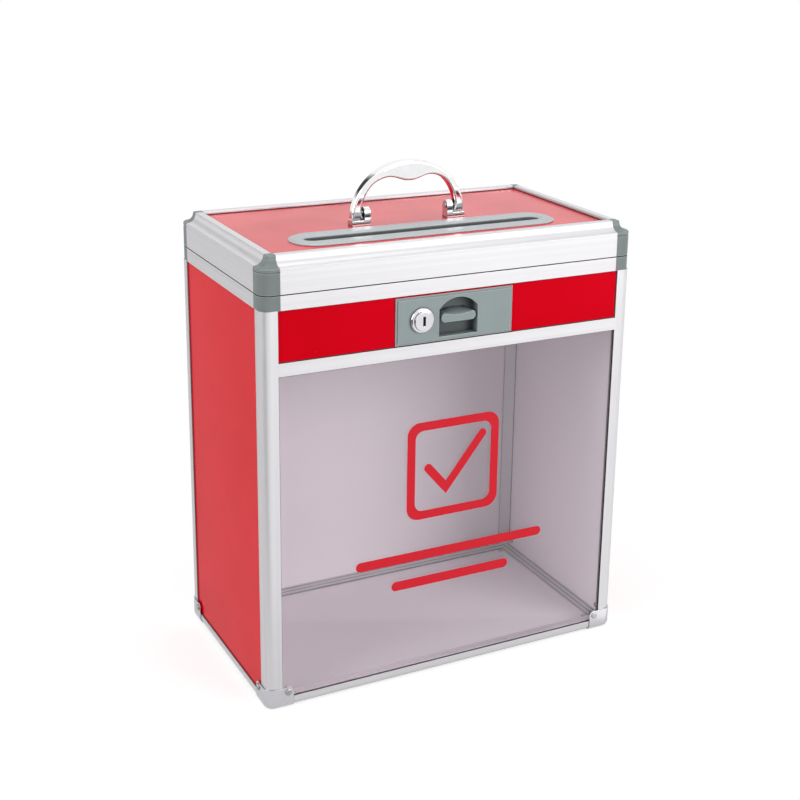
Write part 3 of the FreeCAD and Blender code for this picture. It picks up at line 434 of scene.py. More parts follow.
@dataclass(frozen=True)
class Metal:
    """A bare or plated metal with small scratches, stain, edges in a set tone (wear and painted highlight
    where lighter, painted shade where darker) and painted shade in its corners.
    """

    label: str
    clean: Colour
    stained: Colour
    wear_and_painted_edge_light: Colour
    polish: float
    dulling: float
    easing: float = 0.0004
    crevice_shade: Colour = (0.09, 0.085, 0.09, 1.0)
    reach: float = 0.0020

    def material(self) -> bpy.types.Material:
        """Builds the metal's material."""
        graph = Graph(self.label)
        place = graph.place()
        stain = graph.noise(place, 70.0, 4.0)
        scratch = graph.noise(graph.stretched(place, (900.0, 900.0, 120.0)), 1.0, 3.0)
        colour = graph.blend(graph.span(stain, 0.42, 0.72, 0.0, 1.0), self.clean, self.stained)
        # edge tone: darker on chrome, lock plating, nickel and rivets as painted shade lines; lighter on
        # steel and brass as wear and painted highlight
        colour = graph.blend(graph.edges(self.easing), colour, self.wear_and_painted_edge_light)
        # painted shade: darker where another surface is near, in crevices and along the floor contact
        colour = graph.blend(graph.shade_in_crevices(self.reach), colour, self.crevice_shade)
        return graph.surface(
            {
                "Base Color": colour,
                "Metallic": 1.0,
                "Roughness": graph.span(stain, 0.3, 0.8, self.polish, self.dulling),
                "Normal": graph.bump(scratch, 0.000004, graph.rounded(self.easing)),
            }
        )


@dataclass(frozen=True)
class ShadeStrip:
    """A dark strip laid in a gap where there is only shade: painted shade, with a soft bloom in its tone.
    """

    fresh: Colour = (0.030, 0.008, 0.010, 1.0)
    bloom: Colour = (0.055, 0.022, 0.026, 1.0)

    def material(self) -> bpy.types.Material:
        """Builds the rubber's material."""
        graph = Graph("shade_strip_rubber")
        place = graph.place()
        cloud = graph.noise(place, 140.0, 4.0)
        return graph.surface(
            {
                "Base Color": graph.blend(graph.span(cloud, 0.4, 0.75, 0.0, 1.0), self.fresh, self.bloom),
                "Roughness": graph.span(cloud, 0.3, 0.7, 0.55, 0.75),
                "Normal": graph.bump(graph.noise(place, 900.0, 2.0), 0.00002, graph.rounded(0.0002)),
            }
        )


@dataclass(frozen=True)
class MarkFilm:
    """Red cut vinyl film on the window."""

    vinyl: Colour = (0.72, 0.004, 0.018, 1.0)
    faded: Colour = (0.66, 0.008, 0.024, 1.0)

    def material(self) -> bpy.types.Material:
        """Builds the film's material."""
        graph = Graph("mark_film")
        place = graph.place()
        cloud = graph.noise(place, 60.0, 3.0)
        return graph.surface(
            {
                "Base Color": graph.blend(cloud, self.vinyl, self.faded),
                "Roughness": graph.span(cloud, 0.3, 0.7, 0.34, 0.46),
                "Specular IOR Level": 0.3,
                "Normal": graph.bump(graph.noise(place, 700.0, 2.0), 0.00001, graph.rounded(0.0001)),
            }
        )


PLATE_GREY = GreyPlastic(
    "grey_plastic_plate",
    body=(0.300, 0.355, 0.360, 1.0),
    body_deep=(0.262, 0.312, 0.316, 1.0),
    painted_edge_highlight=(0.62, 0.68, 0.68, 1.0),
    recess_shade=(0.060, 0.072, 0.072, 1.0),
    recess_shade_from=-0.1005,
    recess_shade_to=-0.0905,
)
BEZEL_GREY = GreyPlastic(
    "grey_plastic_bezel",
    body=(0.530, 0.565, 0.585, 1.0),
    body_deep=(0.485, 0.520, 0.540, 1.0),
    painted_edge_highlight=(0.74, 0.77, 0.78, 1.0),
)
# painted shade: a dark tone for the sheet in the slot's throat
SLOT_SHADE_GREY = GreyPlastic(
    "grey_plastic_slot_shade",
    body=(0.125, 0.142, 0.142, 1.0),
    body_deep=(0.100, 0.115, 0.115, 1.0),
    painted_edge_highlight=(0.20, 0.22, 0.22, 1.0),
)
CORNER_GREY = GreyPlastic(
    "grey_plastic_corner",
    body=(0.205, 0.238, 0.238, 1.0),
    body_deep=(0.175, 0.205, 0.205, 1.0),
    painted_edge_highlight=(0.60, 0.64, 0.64, 1.0),
)
CHROME = Metal(
    "chrome_plate",
    clean=(0.90, 0.90, 0.91, 1.0),
    stained=(0.84, 0.84, 0.86, 1.0),
    wear_and_painted_edge_light=(0.22, 0.22, 0.23, 1.0),
    polish=0.02,
    dulling=0.06,
    easing=0.0009,
    crevice_shade=(0.02, 0.02, 0.021, 1.0),
    reach=0.0040,
)
LOCK_PLATING = Metal(
    "lock_plating",
    clean=(0.76, 0.745, 0.78, 1.0),
    stained=(0.70, 0.685, 0.72, 1.0),
    wear_and_painted_edge_light=(0.28, 0.27, 0.29, 1.0),
    polish=0.06,
    dulling=0.14,
    crevice_shade=(0.02, 0.018, 0.02, 1.0),
    reach=0.0045,
)
NICKEL = Metal(
    "nickel_plate",
    clean=(0.86, 0.845, 0.885, 1.0),
    stained=(0.78, 0.765, 0.80, 1.0),
    wear_and_painted_edge_light=(0.30, 0.29, 0.31, 1.0),
    polish=0.24,
    dulling=0.34,
)
RIVET = Metal(
    "rivet_metal",
    clean=(0.58, 0.57, 0.58, 1.0),
    stained=(0.42, 0.41, 0.42, 1.0),
    wear_and_painted_edge_light=(0.24, 0.23, 0.24, 1.0),
    polish=0.25,
    dulling=0.42,
    easing=0.0006,
)
BRASS = Metal(
    "brass_nut",
    clean=(0.78, 0.58, 0.26, 1.0),
    stained=(0.60, 0.42, 0.18, 1.0),
    wear_and_painted_edge_light=(0.86, 0.68, 0.36, 1.0),
    polish=0.22,
    dulling=0.40,
)
STEEL = Metal(
    "bare_steel",
    clean=(0.66, 0.66, 0.67, 1.0),
    stained=(0.50, 0.49, 0.48, 1.0),
    wear_and_painted_edge_light=(0.78, 0.78, 0.78, 1.0),
    polish=0.26,
    dulling=0.42,
    easing=0.0002,
)
# painted shade: near-black for the wafers that darken the keyway
KEYWAY_SHADE_BLACK = GreyPlastic(
    "keyway_shade_black",
    body=(0.016, 0.016, 0.018, 1.0),
    body_deep=(0.010, 0.010, 0.011, 1.0),
    painted_edge_highlight=(0.020, 0.020, 0.022, 1.0),
    sheen=0.05,
)
LID_RED: Colour = (0.88, 0.0, 0.020, 1.0)
# painted light for the front sill's inner faces, against the shade under the front rail
SILL_PAINTED_LIGHT: Colour = (0.95, 0.90, 0.93, 1.0)
SILL_RIB_PAINTED_LIGHT: Colour = (0.78, 0.74, 0.77, 1.0)


def rounded_rectangle(width: float, height: float, radius: float, steps: int = 10) -> list[Point]:
    """Points round a rectangle with rounded corners, about its middle.

    Args:
        width: the full width.
        height: the full height.
        radius: the corner radius.
        steps: how many parts each corner has.

    Returns:
        The points in order, anticlockwise.
    """
    points = []
    for quarter, (side, rise) in enumerate(((1, 1), (-1, 1), (-1, -1), (1, -1))):
        centre = (side * (width / 2 - radius), rise * (height / 2 - radius))
        for step in range(steps + 1):
            angle = math.pi / 2 * (quarter + step / steps)
            points.append((centre[0] + radius * math.cos(angle), centre[1] + radius * math.sin(angle)))
    return points


def at_level(outline: list[Point], middle: Point, level: float) -> list[Corner]:
    """Lays an outline flat at a height, in millimetres."""
    return [(middle[0] + across, middle[1] + along, level) for across, along in outline]


def ring_mesh(loops: list[list[Corner]]) -> bmesh.types.BMesh:
    """A closed ring through loops of as many points each, the last joined to the first.

    Args:
        loops: the loops in order round the ring's section, in millimetres.

    Returns:
        The mesh, in metres.
    """
    mesh = bmesh.new()
    rows = [[mesh.verts.new(Vector(point) * MM) for point in loop] for loop in loops]
    for number, row in enumerate(rows):
        beside = rows[(number + 1) % len(rows)]
        for here in range(len(row)):
            after = (here + 1) % len(row)
            mesh.faces.new((row[here], beside[here], beside[after], row[after]))
    return mesh


def slab_mesh(loops: list[list[Corner]]) -> bmesh.types.BMesh:
    """A solid through loops of as many points each, closed over the first and the last.

    Args:
        loops: the loops in order from one end to the other, in millimetres.

    Returns:
        The mesh, in metres.
    """
    mesh = bmesh.new()
    rows = [[mesh.verts.new(Vector(point) * MM) for point in loop] for loop in loops]
    for row, beside in zip(rows, rows[1:]):
        for here in range(len(row)):
            after = (here + 1) % len(row)
            mesh.faces.new((row[here], beside[here], beside[after], row[after]))
    mesh.faces.new(rows[0])
    mesh.faces.new(list(reversed(rows[-1])))
    return mesh


@dataclass
class Assembly:
    """A group of pieces of the box: it dresses CAD nodes and adds scene pieces."""

    frame: dict[str, Any]

    def dress(self, finish: Any, *names: str) -> None:
        """Gives CAD nodes a finish.

        Args:
            finish: an object whose material method builds the material.
            names: the CAD nodes that take it.
        """
        material = finish.material()
        for name in names:
            for slot in self.frame["nodes"][name].material_slots:
                slot.material = material
            LOG.info("%s takes %s", name, material.name)

    def piece(
        self, name: str, mesh: bmesh.types.BMesh, finish: Any, body: str, slot: str
    ) -> bpy.types.Object:
        """Turns a built mesh into a piece of the box.

        Args:
            name: the piece's name.
            mesh: its geometry, in metres in the part's frame.
            finish: an object whose material method builds the material.
            body: the CAD body it rides on.
            slot: not used.

        Returns:
            The new object.
        """
        bmesh.ops.recalc_face_normals(mesh, faces=mesh.faces)
        data = bpy.data.meshes.new(name)
        mesh.to_mesh(data)
        mesh.free()
        data.materials.append(finish.material())
        made = bpy.data.objects.new(name, data)
        bpy.context.scene.collection.objects.link(made)
        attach(made, body)
        LOG.info("%s rides on %s", name, body)
        return made


@dataclass
class Carcass(Assembly):
    """The lower box: boards, corner posts, rails and the corners of the rim."""

    corners: tuple[str, ...] = ("front_left", "front_right", "rear_left", "rear_right")
    frame_width: float = 360.0
    frame_depth: float = 202.0
    corner_radius: float = 10.0
    strip_setback: float = 1.4
    strip_width: float = 2.2
    strip_height: float = 0.8
    bead_width: float = 0.8
    bead_height: float = 0.5
    bead_round: float = 0.4

    def build_shade_bead(self, board: str, facing: Facing, low: float, high: float) -> None:
        """Lays a dark bead round a board, where it meets the frame's lips: painted shade in the gap.

        Args:
            board: the board's node.
            facing: the side of the box it is on.
            low: the top of the rail below it, in metres.
            high: the underside of the rail above it, in metres.
        """
        outward = Vector(facing.value)
        along = Vector((0.0, 0.0, 1.0)).cross(outward)
        near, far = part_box("post_front_left")[1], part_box(board)
        reach = abs(near.dot(along)) / MM
        face = max(corner.dot(outward) for corner in far) / MM
        loops = []
        for inset, lift in ((0.05, 0.0), (0.05, 1.0), (0.6, 0.9), (1.0, 0.0)):
            shrink = 2 * inset * self.bead_width
            outline = rounded_rectangle(2 * reach - shrink, (high - low) / MM - shrink, self.bead_round, 3)
            level = outward * (face + lift * self.bead_height) + Vector((0.0, 0.0, (low + high) / 2 / MM))
            loops.append([tuple(level + along * across + Vector((0.0, 0.0, up))) for across, up in outline])
        self.piece(f"{board}_bead", ring_mesh(loops), ShadeStrip(), "base", "grey_plastic")

    def build_shade_beads(self) -> None:
        """Lays the beads of the walls, the front strip and the window, as painted shade lines."""
        sill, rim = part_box("bottom_rail_front")[1].z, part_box("rim_rail_front")[0].z
        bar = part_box("mid_rail")
        self.build_shade_bead("left_panel", Facing.LEFT, sill, rim)
        self.build_shade_bead("right_panel", Facing.RIGHT, sill, rim)
        self.build_shade_bead("rear_panel", Facing.REAR, sill, rim)
        self.build_shade_bead("front_strip", Facing.FRONT, bar[1].z, rim)
        self.build_shade_bead("window", Facing.FRONT, sill, bar[0].z)

    def dress_boards(self) -> None:
        """Dresses the four walls and the floor."""
        self.dress(RedBoard(Facing.LEFT, gloss=0.10), "left_panel")
        self.dress(RedBoard(Facing.RIGHT), "right_panel")
        self.dress(RedBoard(Facing.REAR), "rear_panel")
        self.dress(RedBoard(Facing.FRONT, gloss=0.04), "front_strip")
        self.dress(RedBoard(Facing.UNDERSIDE), "floor_panel")

    def dress_rails(self) -> None:
        """Dresses the extrusions, each with its lines along its length."""
        across = ("bottom_rail_rear", "rim_rail_front", "rim_rail_rear", "mid_rail")
        deep = ("bottom_rail_left", "bottom_rail_right", "rim_rail_left", "rim_rail_right")
        self.dress(SatinAluminium(Grain.ALONG_X), *across)
        # the front sill takes a lighter inner tone, painted light against the shade under the front rail
        self.dress(SatinAluminium(Grain.ALONG_X, inner_painted_tone=SILL_PAINTED_LIGHT, rib_painted_tone=SILL_RIB_PAINTED_LIGHT), "bottom_rail_front")
        self.dress(SatinAluminium(Grain.ALONG_Y), *deep)
        self.dress(SatinAluminium(Grain.ALONG_Z), *(f"post_{corner}" for corner in self.corners))

    def dress_corners(self) -> None:
        """Dresses the moulded rim corners, the ball corners and their rivets."""
        self.dress(CORNER_GREY, *(f"rim_corner_{corner}" for corner in self.corners))
        self.dress(NICKEL, *(f"ball_corner_{corner}" for corner in self.corners))
        self.dress(RIVET, "corner_rivets")

    def build_shade_strip(self) -> None:
        """Lays a dark strip on the rim, just in from the outer faces: painted shade in the split line."""
        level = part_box("rim_corner_front_left")[1].z / MM
        loops = []
        for inset, lift in ((0.0, 0.0), (0.3, 1.0), (0.7, 1.0), (1.0, 0.0)):
            setback = self.strip_setback + inset * self.strip_width
            width, depth = self.frame_width - 2 * setback, self.frame_depth - 2 * setback
            outline = rounded_rectangle(width, depth, self.corner_radius - setback)
            loops.append(at_level(outline, (0.0, 0.0), level + lift * self.strip_height))
        self.piece("rim_shade_strip", ring_mesh(loops), ShadeStrip(), "base", "grey_plastic")

    def build(self) -> None:
        """Dresses the whole carcass."""
        self.dress_boards()
        self.dress_rails()
        self.dress_corners()
        self.build_shade_strip()
        self.build_shade_beads()


@dataclass
class Window(Assembly):
    """The clear front sheet and the plain mark stuck on it. Lengths are in millimetres."""

    mark_x: float = 0.0
    mark_z: float = 200.5
    square_side: float = 92.0
    square_round: float = 12.0
    stroke: float = 8.0
    tick: tuple[Point, ...] = ((-25.0, 2.0), (-7.0, -19.0), (29.0, 27.0))
    bar_rows: tuple[tuple[float, float], ...] = ((119.5, 190.0), (93.5, 120.0))
    bar_height: float = 9.0
    film: float = 0.15
    steps: int = 10

    def tick_outline(self) -> list[Point]:
        """Points round the tick: a bent stroke with rounded ends."""
        low, elbow, high = (Vector(point) for point in self.tick)
        half = self.stroke / 2
        first = (elbow - low).normalized()
        second = (high - elbow).normalized()
        first_left = Vector((-first.y, first.x))
        second_left = Vector((-second.y, second.x))
        mitre = (first_left + second_left).normalized()
        reach = half / mitre.dot(first_left)
        points = [elbow + mitre * reach]
        points += self.cap(low, -first, half)
        points.append(elbow - mitre * reach)
        points += self.cap(high, second, half)
        return [(point.x, point.y) for point in points]

    def cap(self, end: Vector, outward: Vector, radius: float) -> list[Vector]:
        """Points round a stroke's rounded end.

        Args:
            end: the end of the stroke's middle line.
            outward: the direction out of the stroke.
            radius: half the stroke's width.

        Returns:
            The half circle's points, anticlockwise.
        """
        side = Vector((outward.y, -outward.x))
        turns = (math.pi * step / self.steps for step in range(self.steps + 1))
        return [end + radius * (side * math.cos(turn) + outward * math.sin(turn)) for turn in turns]

    def film_loop(self, outline: list[Point], middle: Point, lift: float) -> list[Corner]:
        """Stands an outline on the sheet, in millimetres.

        Args:
            outline: points about the middle.
            middle: the outline's place along x and z.
            lift: how far it stands in front of the sheet.

        Returns:
            The points in the part's frame.
        """
        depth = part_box("window")[0].y / MM - lift
        return [(middle[0] + across, depth, middle[1] + up) for across, up in outline]

    def solid_film(self, outline: list[Point], middle: Point) -> bmesh.types.BMesh:
        """A flat piece of film cut to an outline."""
        return slab_mesh([self.film_loop(outline, middle, lift) for lift in (0.0, self.film)])

    def ring_film(self, outer: list[Point], inner: list[Point], middle: Point) -> bmesh.types.BMesh:
        """A flat ring of film between two outlines with as many points each."""
        edges = ((outer, 0.0), (outer, self.film), (inner, self.film), (inner, 0.0))
        return ring_mesh([self.film_loop(outline, middle, lift) for outline, lift in edges])

    def build_mark(self) -> None:
        """Sticks the tick, its square and the plain bars on the sheet."""
        film = MarkFilm()
        middle = (self.mark_x, self.mark_z)
        inner_side = self.square_side - 2 * self.stroke
        outer = rounded_rectangle(self.square_side, self.square_side, self.square_round)
        inner = rounded_rectangle(inner_side, inner_side, self.square_round - self.stroke / 2)
        self.piece("mark_square", self.ring_film(outer, inner, middle), film, "base", "red_board")
        self.piece("mark_tick", self.solid_film(self.tick_outline(), middle), film, "base", "red_board")
        for number, (level, length) in enumerate(self.bar_rows, start=1):
            bar = rounded_rectangle(length, self.bar_height, self.bar_height / 2)
            mesh = self.solid_film(bar, (self.mark_x, level))
            self.piece(f"mark_bar_{number}", mesh, film, "base", "red_board")

    def build(self) -> None:
        """Dresses the sheet and adds the mark."""
        self.dress(ClearAcrylic(), "window")
        self.build_mark()


@dataclass
class Lid(Assembly):
    """The lid: rails, moulded corners, red board and the bezel of the slot."""

    corners: tuple[str, ...] = ("front_left", "front_right", "rear_left", "rear_right")
    opening_width: float = 326.9
    opening_depth: float = 168.9
    bead_width: float = 0.9
    bead_height: float = 0.7
    bead_round: float = 2.0
    slot_middle: Point = (-2.5, -44.0)
    slot_length: float = 231.9
    slot_width: float = 15.4
    liner_wall: float = 0.7
    liner_rise: float = 0.4
    liner_drop: float = 5.0
    liner_slope: float = 0.5

    def build_shade_bead(self) -> None:
        """Lays a dark bead along the rails' lips: painted shade in the gap between the board and the lips.
        """
        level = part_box("lid_panel")[1].z / MM
        loops = []
        for inset, lift in ((0.0, 0.0), (0.0, 1.0), (0.5, 0.9), (1.0, 0.0)):
            shrink = 2 * inset * self.bead_width
            width, depth = self.opening_width - shrink, self.opening_depth - shrink
            outline = rounded_rectangle(width, depth, self.bead_round, 4)
            loops.append(at_level(outline, (0.0, 0.0), level + lift * self.bead_height))
        self.piece("lid_shade_bead", ring_mesh(loops), ShadeStrip(), "lid", "grey_plastic")

    def build_slot_shade(self) -> None:
        """Lines the slot's throat with a dark sheet: painted shade inside the slot."""
        loops = []
        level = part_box("lid_panel")[1].z / MM
        low, high = level - self.liner_drop, level + self.liner_rise
        for inset, height in ((0.0, low), (0.0, high), (1.0, high - self.liner_slope), (1.0, low)):
            shrink = 2 * inset * self.liner_wall
            width = self.slot_width - shrink
            outline = rounded_rectangle(self.slot_length - shrink, width, width / 2)
            loops.append(at_level(outline, self.slot_middle, height))
        self.piece("slot_shade_liner", ring_mesh(loops), SLOT_SHADE_GREY, "lid", "grey_plastic")

    def build(self) -> None:
        """Dresses the lid."""
        self.dress(RedBoard(Facing.TOP, gloss=0.44, laminate=LID_RED), "lid_panel")
        self.dress(SatinAluminium(Grain.ALONG_X), "lid_rail_front", "lid_rail_rear")
        self.dress(SatinAluminium(Grain.ALONG_Y), "lid_rail_left", "lid_rail_right")
        self.dress(BEZEL_GREY, "slot_bezel")
        self.dress(CORNER_GREY, *(f"lid_corner_{corner}" for corner in self.corners))
        self.build_shade_bead()
        self.build_slot_shade()


@dataclass
class CarryingHandle(Assembly):
    """The folding handle on the lid, its brackets, pins and screws."""

    def build(self) -> None:
        """Dresses the handle and its fittings."""
        self.dress(CHROME, "handle", "handle_bracket_left", "handle_bracket_right")
        self.dress(STEEL, "handle_pins", "bracket_screws")


@dataclass
class Latch(Assembly):
    """The lock plate with its lever, spring and hook, and the strike under the lid."""

    def build(self) -> None:
        """Dresses the latch."""
        self.dress(PLATE_GREY, "lock_plate", "latch_lever")
        self.dress(STEEL, "latch_hook", "lever_pin", "lever_spring", "strike_plate", "strike_rivets")


@dataclass
class KeyLock(Assembly):
    """The cam lock: barrel, plug, nut, cam and screw. Lengths are in millimetres."""

    wafer_width: float = 2.2
    wafer_height: float = 7.9
    wafer_thickness: float = 0.8
    wafer_gap: float = 0.3
    wafer_setback: float = 0.1
    wafer_shifts: tuple[float, ...] = (0.15, -0.2, 0.1, -0.1, 0.2)

    def build_keyway_shade(self) -> None:
        """Stands dark wafers in the keyway, each a little higher or lower: painted shade inside the keyway.
        """
        low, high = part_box("lock_plug")
        middle = ((low.x + high.x) / 2 / MM, (low.z + high.z) / 2 / MM)
        outline = rounded_rectangle(self.wafer_width, self.wafer_height, self.wafer_width / 2 - 0.05, 4)
        for number, shift in enumerate(self.wafer_shifts, start=1):
            front = low.y / MM + self.wafer_setback + number * (self.wafer_thickness + self.wafer_gap)
            loops = [
                [(middle[0] + across, depth, middle[1] + up + shift) for across, up in outline]
                for depth in (front, front + self.wafer_thickness)
            ]
            self.piece(f"lock_wafer_{number}", slab_mesh(loops), KEYWAY_SHADE_BLACK, "plug", "brass_nut")

    def build(self) -> None:
        """Dresses the lock."""
        self.dress(LOCK_PLATING, "lock_barrel", "lock_plug")
        self.dress(BRASS, "lock_nut")
        self.dress(STEEL, "lock_cam", "cam_screw")
        self.build_keyway_shade()


@dataclass
class RearHinges(Assembly):
    """The two hinges at the back."""

    def build(self) -> None:
        """Dresses the hinges."""
        leaves = ("hinge_body_leaves", "hinge_lid_leaves")
        self.dress(STEEL, *leaves, "hinge_body_rivets", "hinge_lid_rivets", "hinge_pins")


@dataclass(frozen=True)
class Lamp:
    """A square soft lamp, with its side in metres and its power in watts."""

    name: str
    place: Corner
    side: float
    power: float


@dataclass
class Studio:
    """A pale floor, soft lamps, a white surround and the camera. Lengths are in metres."""

    camera_place: Corner = (-0.5734, -1.1393, 0.6871)
    camera_turn: float = -28.40
    camera_tilt: float = 16.88
    camera_roll: float = 1.27
    focal_pixels: float = 1431.1
    optical_centre: Point = (445.0, 330.0)
    image_side: float = 800.0
    sensor: float = 36.0
    floor_side: float = 12.0
    floor_edge_near: Point = (-0.08, -0.23)
    floor_edge_far: Point = (0.15, -0.13)
    floor_grey: Colour = (0.75, 0.75, 0.75, 1.0)
    shadow_grey: Colour = (0.40, 0.40, 0.40, 1.0)
    floor_glow: float = 0.72
    floor_fade: Point = (0.22, 0.60)
    dark_leftward: Point = (-0.30, -0.60)
    dark_forward: Point = (-0.12, -0.30)
    daylight: float = 0.43
    mirrored_floor: float = 0.62
    dark_card: float = 0.06
    card_behind: Corner = (-0.38, 0.73, 0.55)
    card_behind_edge: float = 0.91
    card_beside: Corner = (-0.86, -0.48, -0.15)
    card_beside_edge: float = 0.80
    lamp_aim: Corner = (0.0, 0.0, 0.2)
    lamps: tuple[Lamp, ...] = (
        Lamp("key_lamp", (1.1, -1.9, 0.9), 1.3, 26.5),
        Lamp("fill_lamp", (-2.2, -0.4, 1.1), 1.6, 25.0),
        Lamp("top_lamp", (0.1, 0.4, 2.4), 1.8, 11.0),
    )

    def seen_by(self, tree: bpy.types.NodeTree, *rays: str) -> bpy.types.NodeSocket:
        """Adds a switch that is 1 for the named rays of Light Path, and 0 for others.

        Args:
            tree: the node tree that takes the switch.
            rays: the outputs' names.

        Returns:
            The switch's socket.
        """
        path = tree.nodes.new("ShaderNodeLightPath")
        result = path.outputs[rays[0]]
        for name in rays[1:]:
            either = tree.nodes.new("ShaderNodeMath")
            either.operation = "MAXIMUM"
            tree.links.new(result, either.inputs[0])
            tree.links.new(path.outputs[name], either.inputs[1])
            result = either.outputs[0]
        return result

    def card(self, tree: bpy.types.NodeTree, direction: Corner, wide: float) -> bpy.types.NodeSocket:
        """Adds a soft round dark card in the surround.

        Args:
            tree: the world's node tree.
            direction: where the card hangs, seen from the object.
            wide: the cosine of the angle at which it has faded out.

        Returns:
            A mask that is 1 in the card's middle.
        """
        where = tree.nodes.new("ShaderNodeTexCoord")
        along = tree.nodes.new("ShaderNodeVectorMath")
        along.operation = "DOT_PRODUCT"
        along.inputs[1].default_value = Vector(direction).normalized()
        tree.links.new(where.outputs["Generated"], along.inputs[0])
        fade = tree.nodes.new("ShaderNodeMapRange")
        fade.inputs[1].default_value = wide
        fade.inputs[2].default_value = (1.0 + wide) / 2
        tree.links.new(along.outputs["Value"], fade.inputs[0])
        return fade.outputs[0]

    def room_tone(self, tree: bpy.types.NodeTree) -> bpy.types.NodeSocket:
        """White all round, but for two dark cards that only mirrors see.

        Args:
            tree: the world's node tree.

        Returns:
            The strength of the white surround.
        """
        both = tree.nodes.new("ShaderNodeMath")
        both.operation = "MAXIMUM"
        tree.links.new(self.card(tree, self.card_behind, self.card_behind_edge), both.inputs[0])
        tree.links.new(self.card(tree, self.card_beside, self.card_beside_edge), both.inputs[1])
        mirrored = tree.nodes.new("ShaderNodeMath")
        mirrored.operation = "MULTIPLY"
        tree.links.new(both.outputs[0], mirrored.inputs[0])
        tree.links.new(self.seen_by(tree, "Is Glossy Ray"), mirrored.inputs[1])
        tone = tree.nodes.new("ShaderNodeMapRange")
        tone.inputs[3].default_value = 1.0
        tone.inputs[4].default_value = self.dark_card
        tree.links.new(mirrored.outputs[0], tone.inputs[0])
        return tone.outputs[0]

    def build_world(self) -> None:
        """Makes the white surround and its softer light on the object."""
        world = bpy.data.worlds.new("studio_surround")
        bpy.context.scene.world = world
        world.use_nodes = True
        tree = world.node_tree
        tree.nodes.clear()
        light = tree.nodes.new("ShaderNodeBackground")
        light.inputs["Color"].default_value = WHITE
        light.inputs["Strength"].default_value = self.daylight
        white = tree.nodes.new("ShaderNodeBackground")
        white.inputs["Color"].default_value = WHITE
        tree.links.new(self.room_tone(tree), white.inputs["Strength"])
        mixed = tree.nodes.new("ShaderNodeMixShader")
        background = self.seen_by(tree, "Is Camera Ray", "Is Glossy Ray", "Is Transmission Ray")
        tree.links.new(background, mixed.inputs[0])
        tree.links.new(light.outputs[0], mixed.inputs[1])
        tree.links.new(white.outputs[0], mixed.inputs[2])
        output = tree.nodes.new("ShaderNodeOutputWorld")
        tree.links.new(mixed.outputs[0], output.inputs["Surface"])

    def build_floor(self) -> None:
        """Lays the floor: white to the camera but for the object's soft shadow, greyer in mirrors."""
        half = self.floor_side / 2
        near, far = Vector(self.floor_edge_near), Vector(self.floor_edge_far)
        run = (far - near).normalized() * half
        ends = [near - run, near + run]
        corners = [(end.x, end.y, 0.0) for end in ends] + [(half, half, 0.0), (-half, half, 0.0)]
        mesh = bpy.data.meshes.new("floor")
        mesh.from_pydata(corners, [], [(0, 1, 2, 3)])
        floor = bpy.data.objects.new("floor", mesh)
        bpy.context.scene.collection.objects.link(floor)
        graph = Graph("pale_floor")
        plain = graph.add("BsdfDiffuse", {"Color": self.floor_grey})
        shaded = graph.add("BsdfDiffuse", {"Color": self.shadow_grey})
        glow = graph.add("Emission", {"Color": WHITE, "Strength": self.floor_glow})
        white = graph.add("AddShader", {0: shaded.outputs[0], 1: glow.outputs[0]})
        distance = graph.add("VectorMath", {0: graph.place()}, operation="LENGTH").outputs["Value"]
        distant = graph.add("Emission", {"Color": WHITE, "Strength": 1.0})
        fade = graph.span(distance, *self.floor_fade, 0.0, 1.0)
        pale = graph.add("MixShader", {0: fade, 1: white.outputs[0], 2: distant.outputs[0]})
        seen = self.seen_by(graph.tree, "Is Camera Ray", "Is Transmission Ray")
        sight = graph.add("MixShader", {0: seen, 1: plain.outputs[0], 2: pale.outputs[0]})
        parts = graph.add("SeparateXYZ", {0: graph.place()}).outputs
        leftward = graph.span(parts["X"], *self.dark_leftward, 0.0, 1.0)
        forward = graph.span(parts["Y"], *self.dark_forward, 0.0, 1.0)
        corner = graph.add("Math", {0: leftward, 1: forward}, operation="MULTIPLY").outputs[0]
        tone = graph.between(corner, self.mirrored_floor, self.dark_card)
        dim = graph.add("Emission", {"Color": WHITE, "Strength": tone})
        glossy = self.seen_by(graph.tree, "Is Glossy Ray")
        mixed = graph.add("MixShader", {0: glossy, 1: sight.outputs[0], 2: dim.outputs[0]})
        mesh.materials.append(graph.close(mixed.outputs[0]))

    def build_lamp(self, lamp: Lamp) -> None:
        """Hangs one soft lamp and turns it to the box."""
        data = bpy.data.lights.new(lamp.name, "AREA")
        data.shape = "SQUARE"
        data.size = lamp.side
        data.energy = lamp.power
        hung = bpy.data.objects.new(lamp.name, data)
        hung.location = lamp.place
        sight = Vector(self.lamp_aim) - Vector(lamp.place)
        hung.rotation_euler = sight.to_track_quat("-Z", "Y").to_euler()
        bpy.context.scene.collection.objects.link(hung)

    def build_camera(self) -> None:
        """Puts the camera where the photograph was taken from."""
        turn, tilt, roll = (math.radians(a) for a in (self.camera_turn, self.camera_tilt, self.camera_roll))
        back = Vector((math.sin(turn) * math.cos(tilt), -math.cos(turn) * math.cos(tilt), math.sin(tilt)))
        level = Vector((0.0, 0.0, 1.0)).cross(back).normalized()
        upright = back.cross(level)
        right = level * math.cos(roll) + upright * math.sin(roll)
        up = back.cross(right)
        data = bpy.data.cameras.new("camera")
        data.sensor_width = self.sensor
        data.lens = self.focal_pixels / self.image_side * self.sensor
        data.shift_x = (self.image_side / 2 - self.optical_centre[0]) / self.image_side
        data.shift_y = (self.optical_centre[1] - self.image_side / 2) / self.image_side
        camera = bpy.data.objects.new("camera", data)
        turned = Matrix((right, up, back)).transposed().to_4x4()
        camera.matrix_world = Matrix.Translation(Vector(self.camera_place)) @ turned
        bpy.context.scene.collection.objects.link(camera)
        bpy.context.scene.camera = camera

    def build(self) -> None:
        """Builds the studio."""
        bpy.context.scene.view_settings.view_transform = "Standard"
        self.build_world()
        self.build_floor()
        for lamp in self.lamps:
            self.build_lamp(lamp)
        self.build_camera()


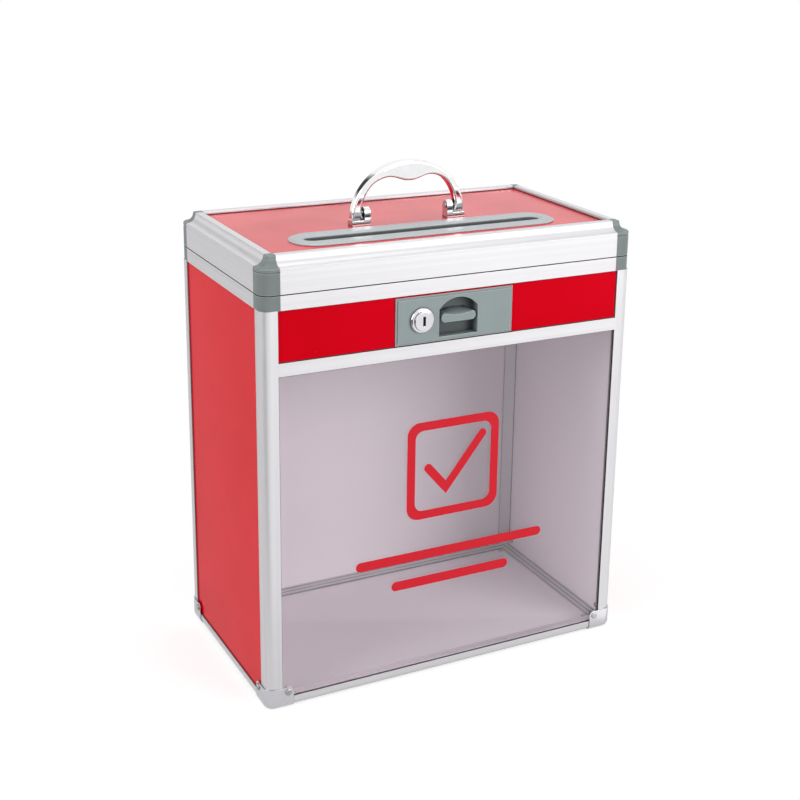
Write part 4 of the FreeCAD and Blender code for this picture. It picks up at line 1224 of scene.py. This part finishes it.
def main() -> None:
    """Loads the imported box, dresses each sub-assembly and sets the studio."""
    logging.basicConfig(level=logging.INFO, format="%(message)s")
    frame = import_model()
    for assembly in (Carcass, Window, Lid, CarryingHandle, Latch, KeyLock, RearHinges):
        assembly(frame).build()
        LOG.info("%s done", assembly.__name__)
    Studio().build()
    bpy.context.view_layer.update()


if __name__ == "__main__":
    main()
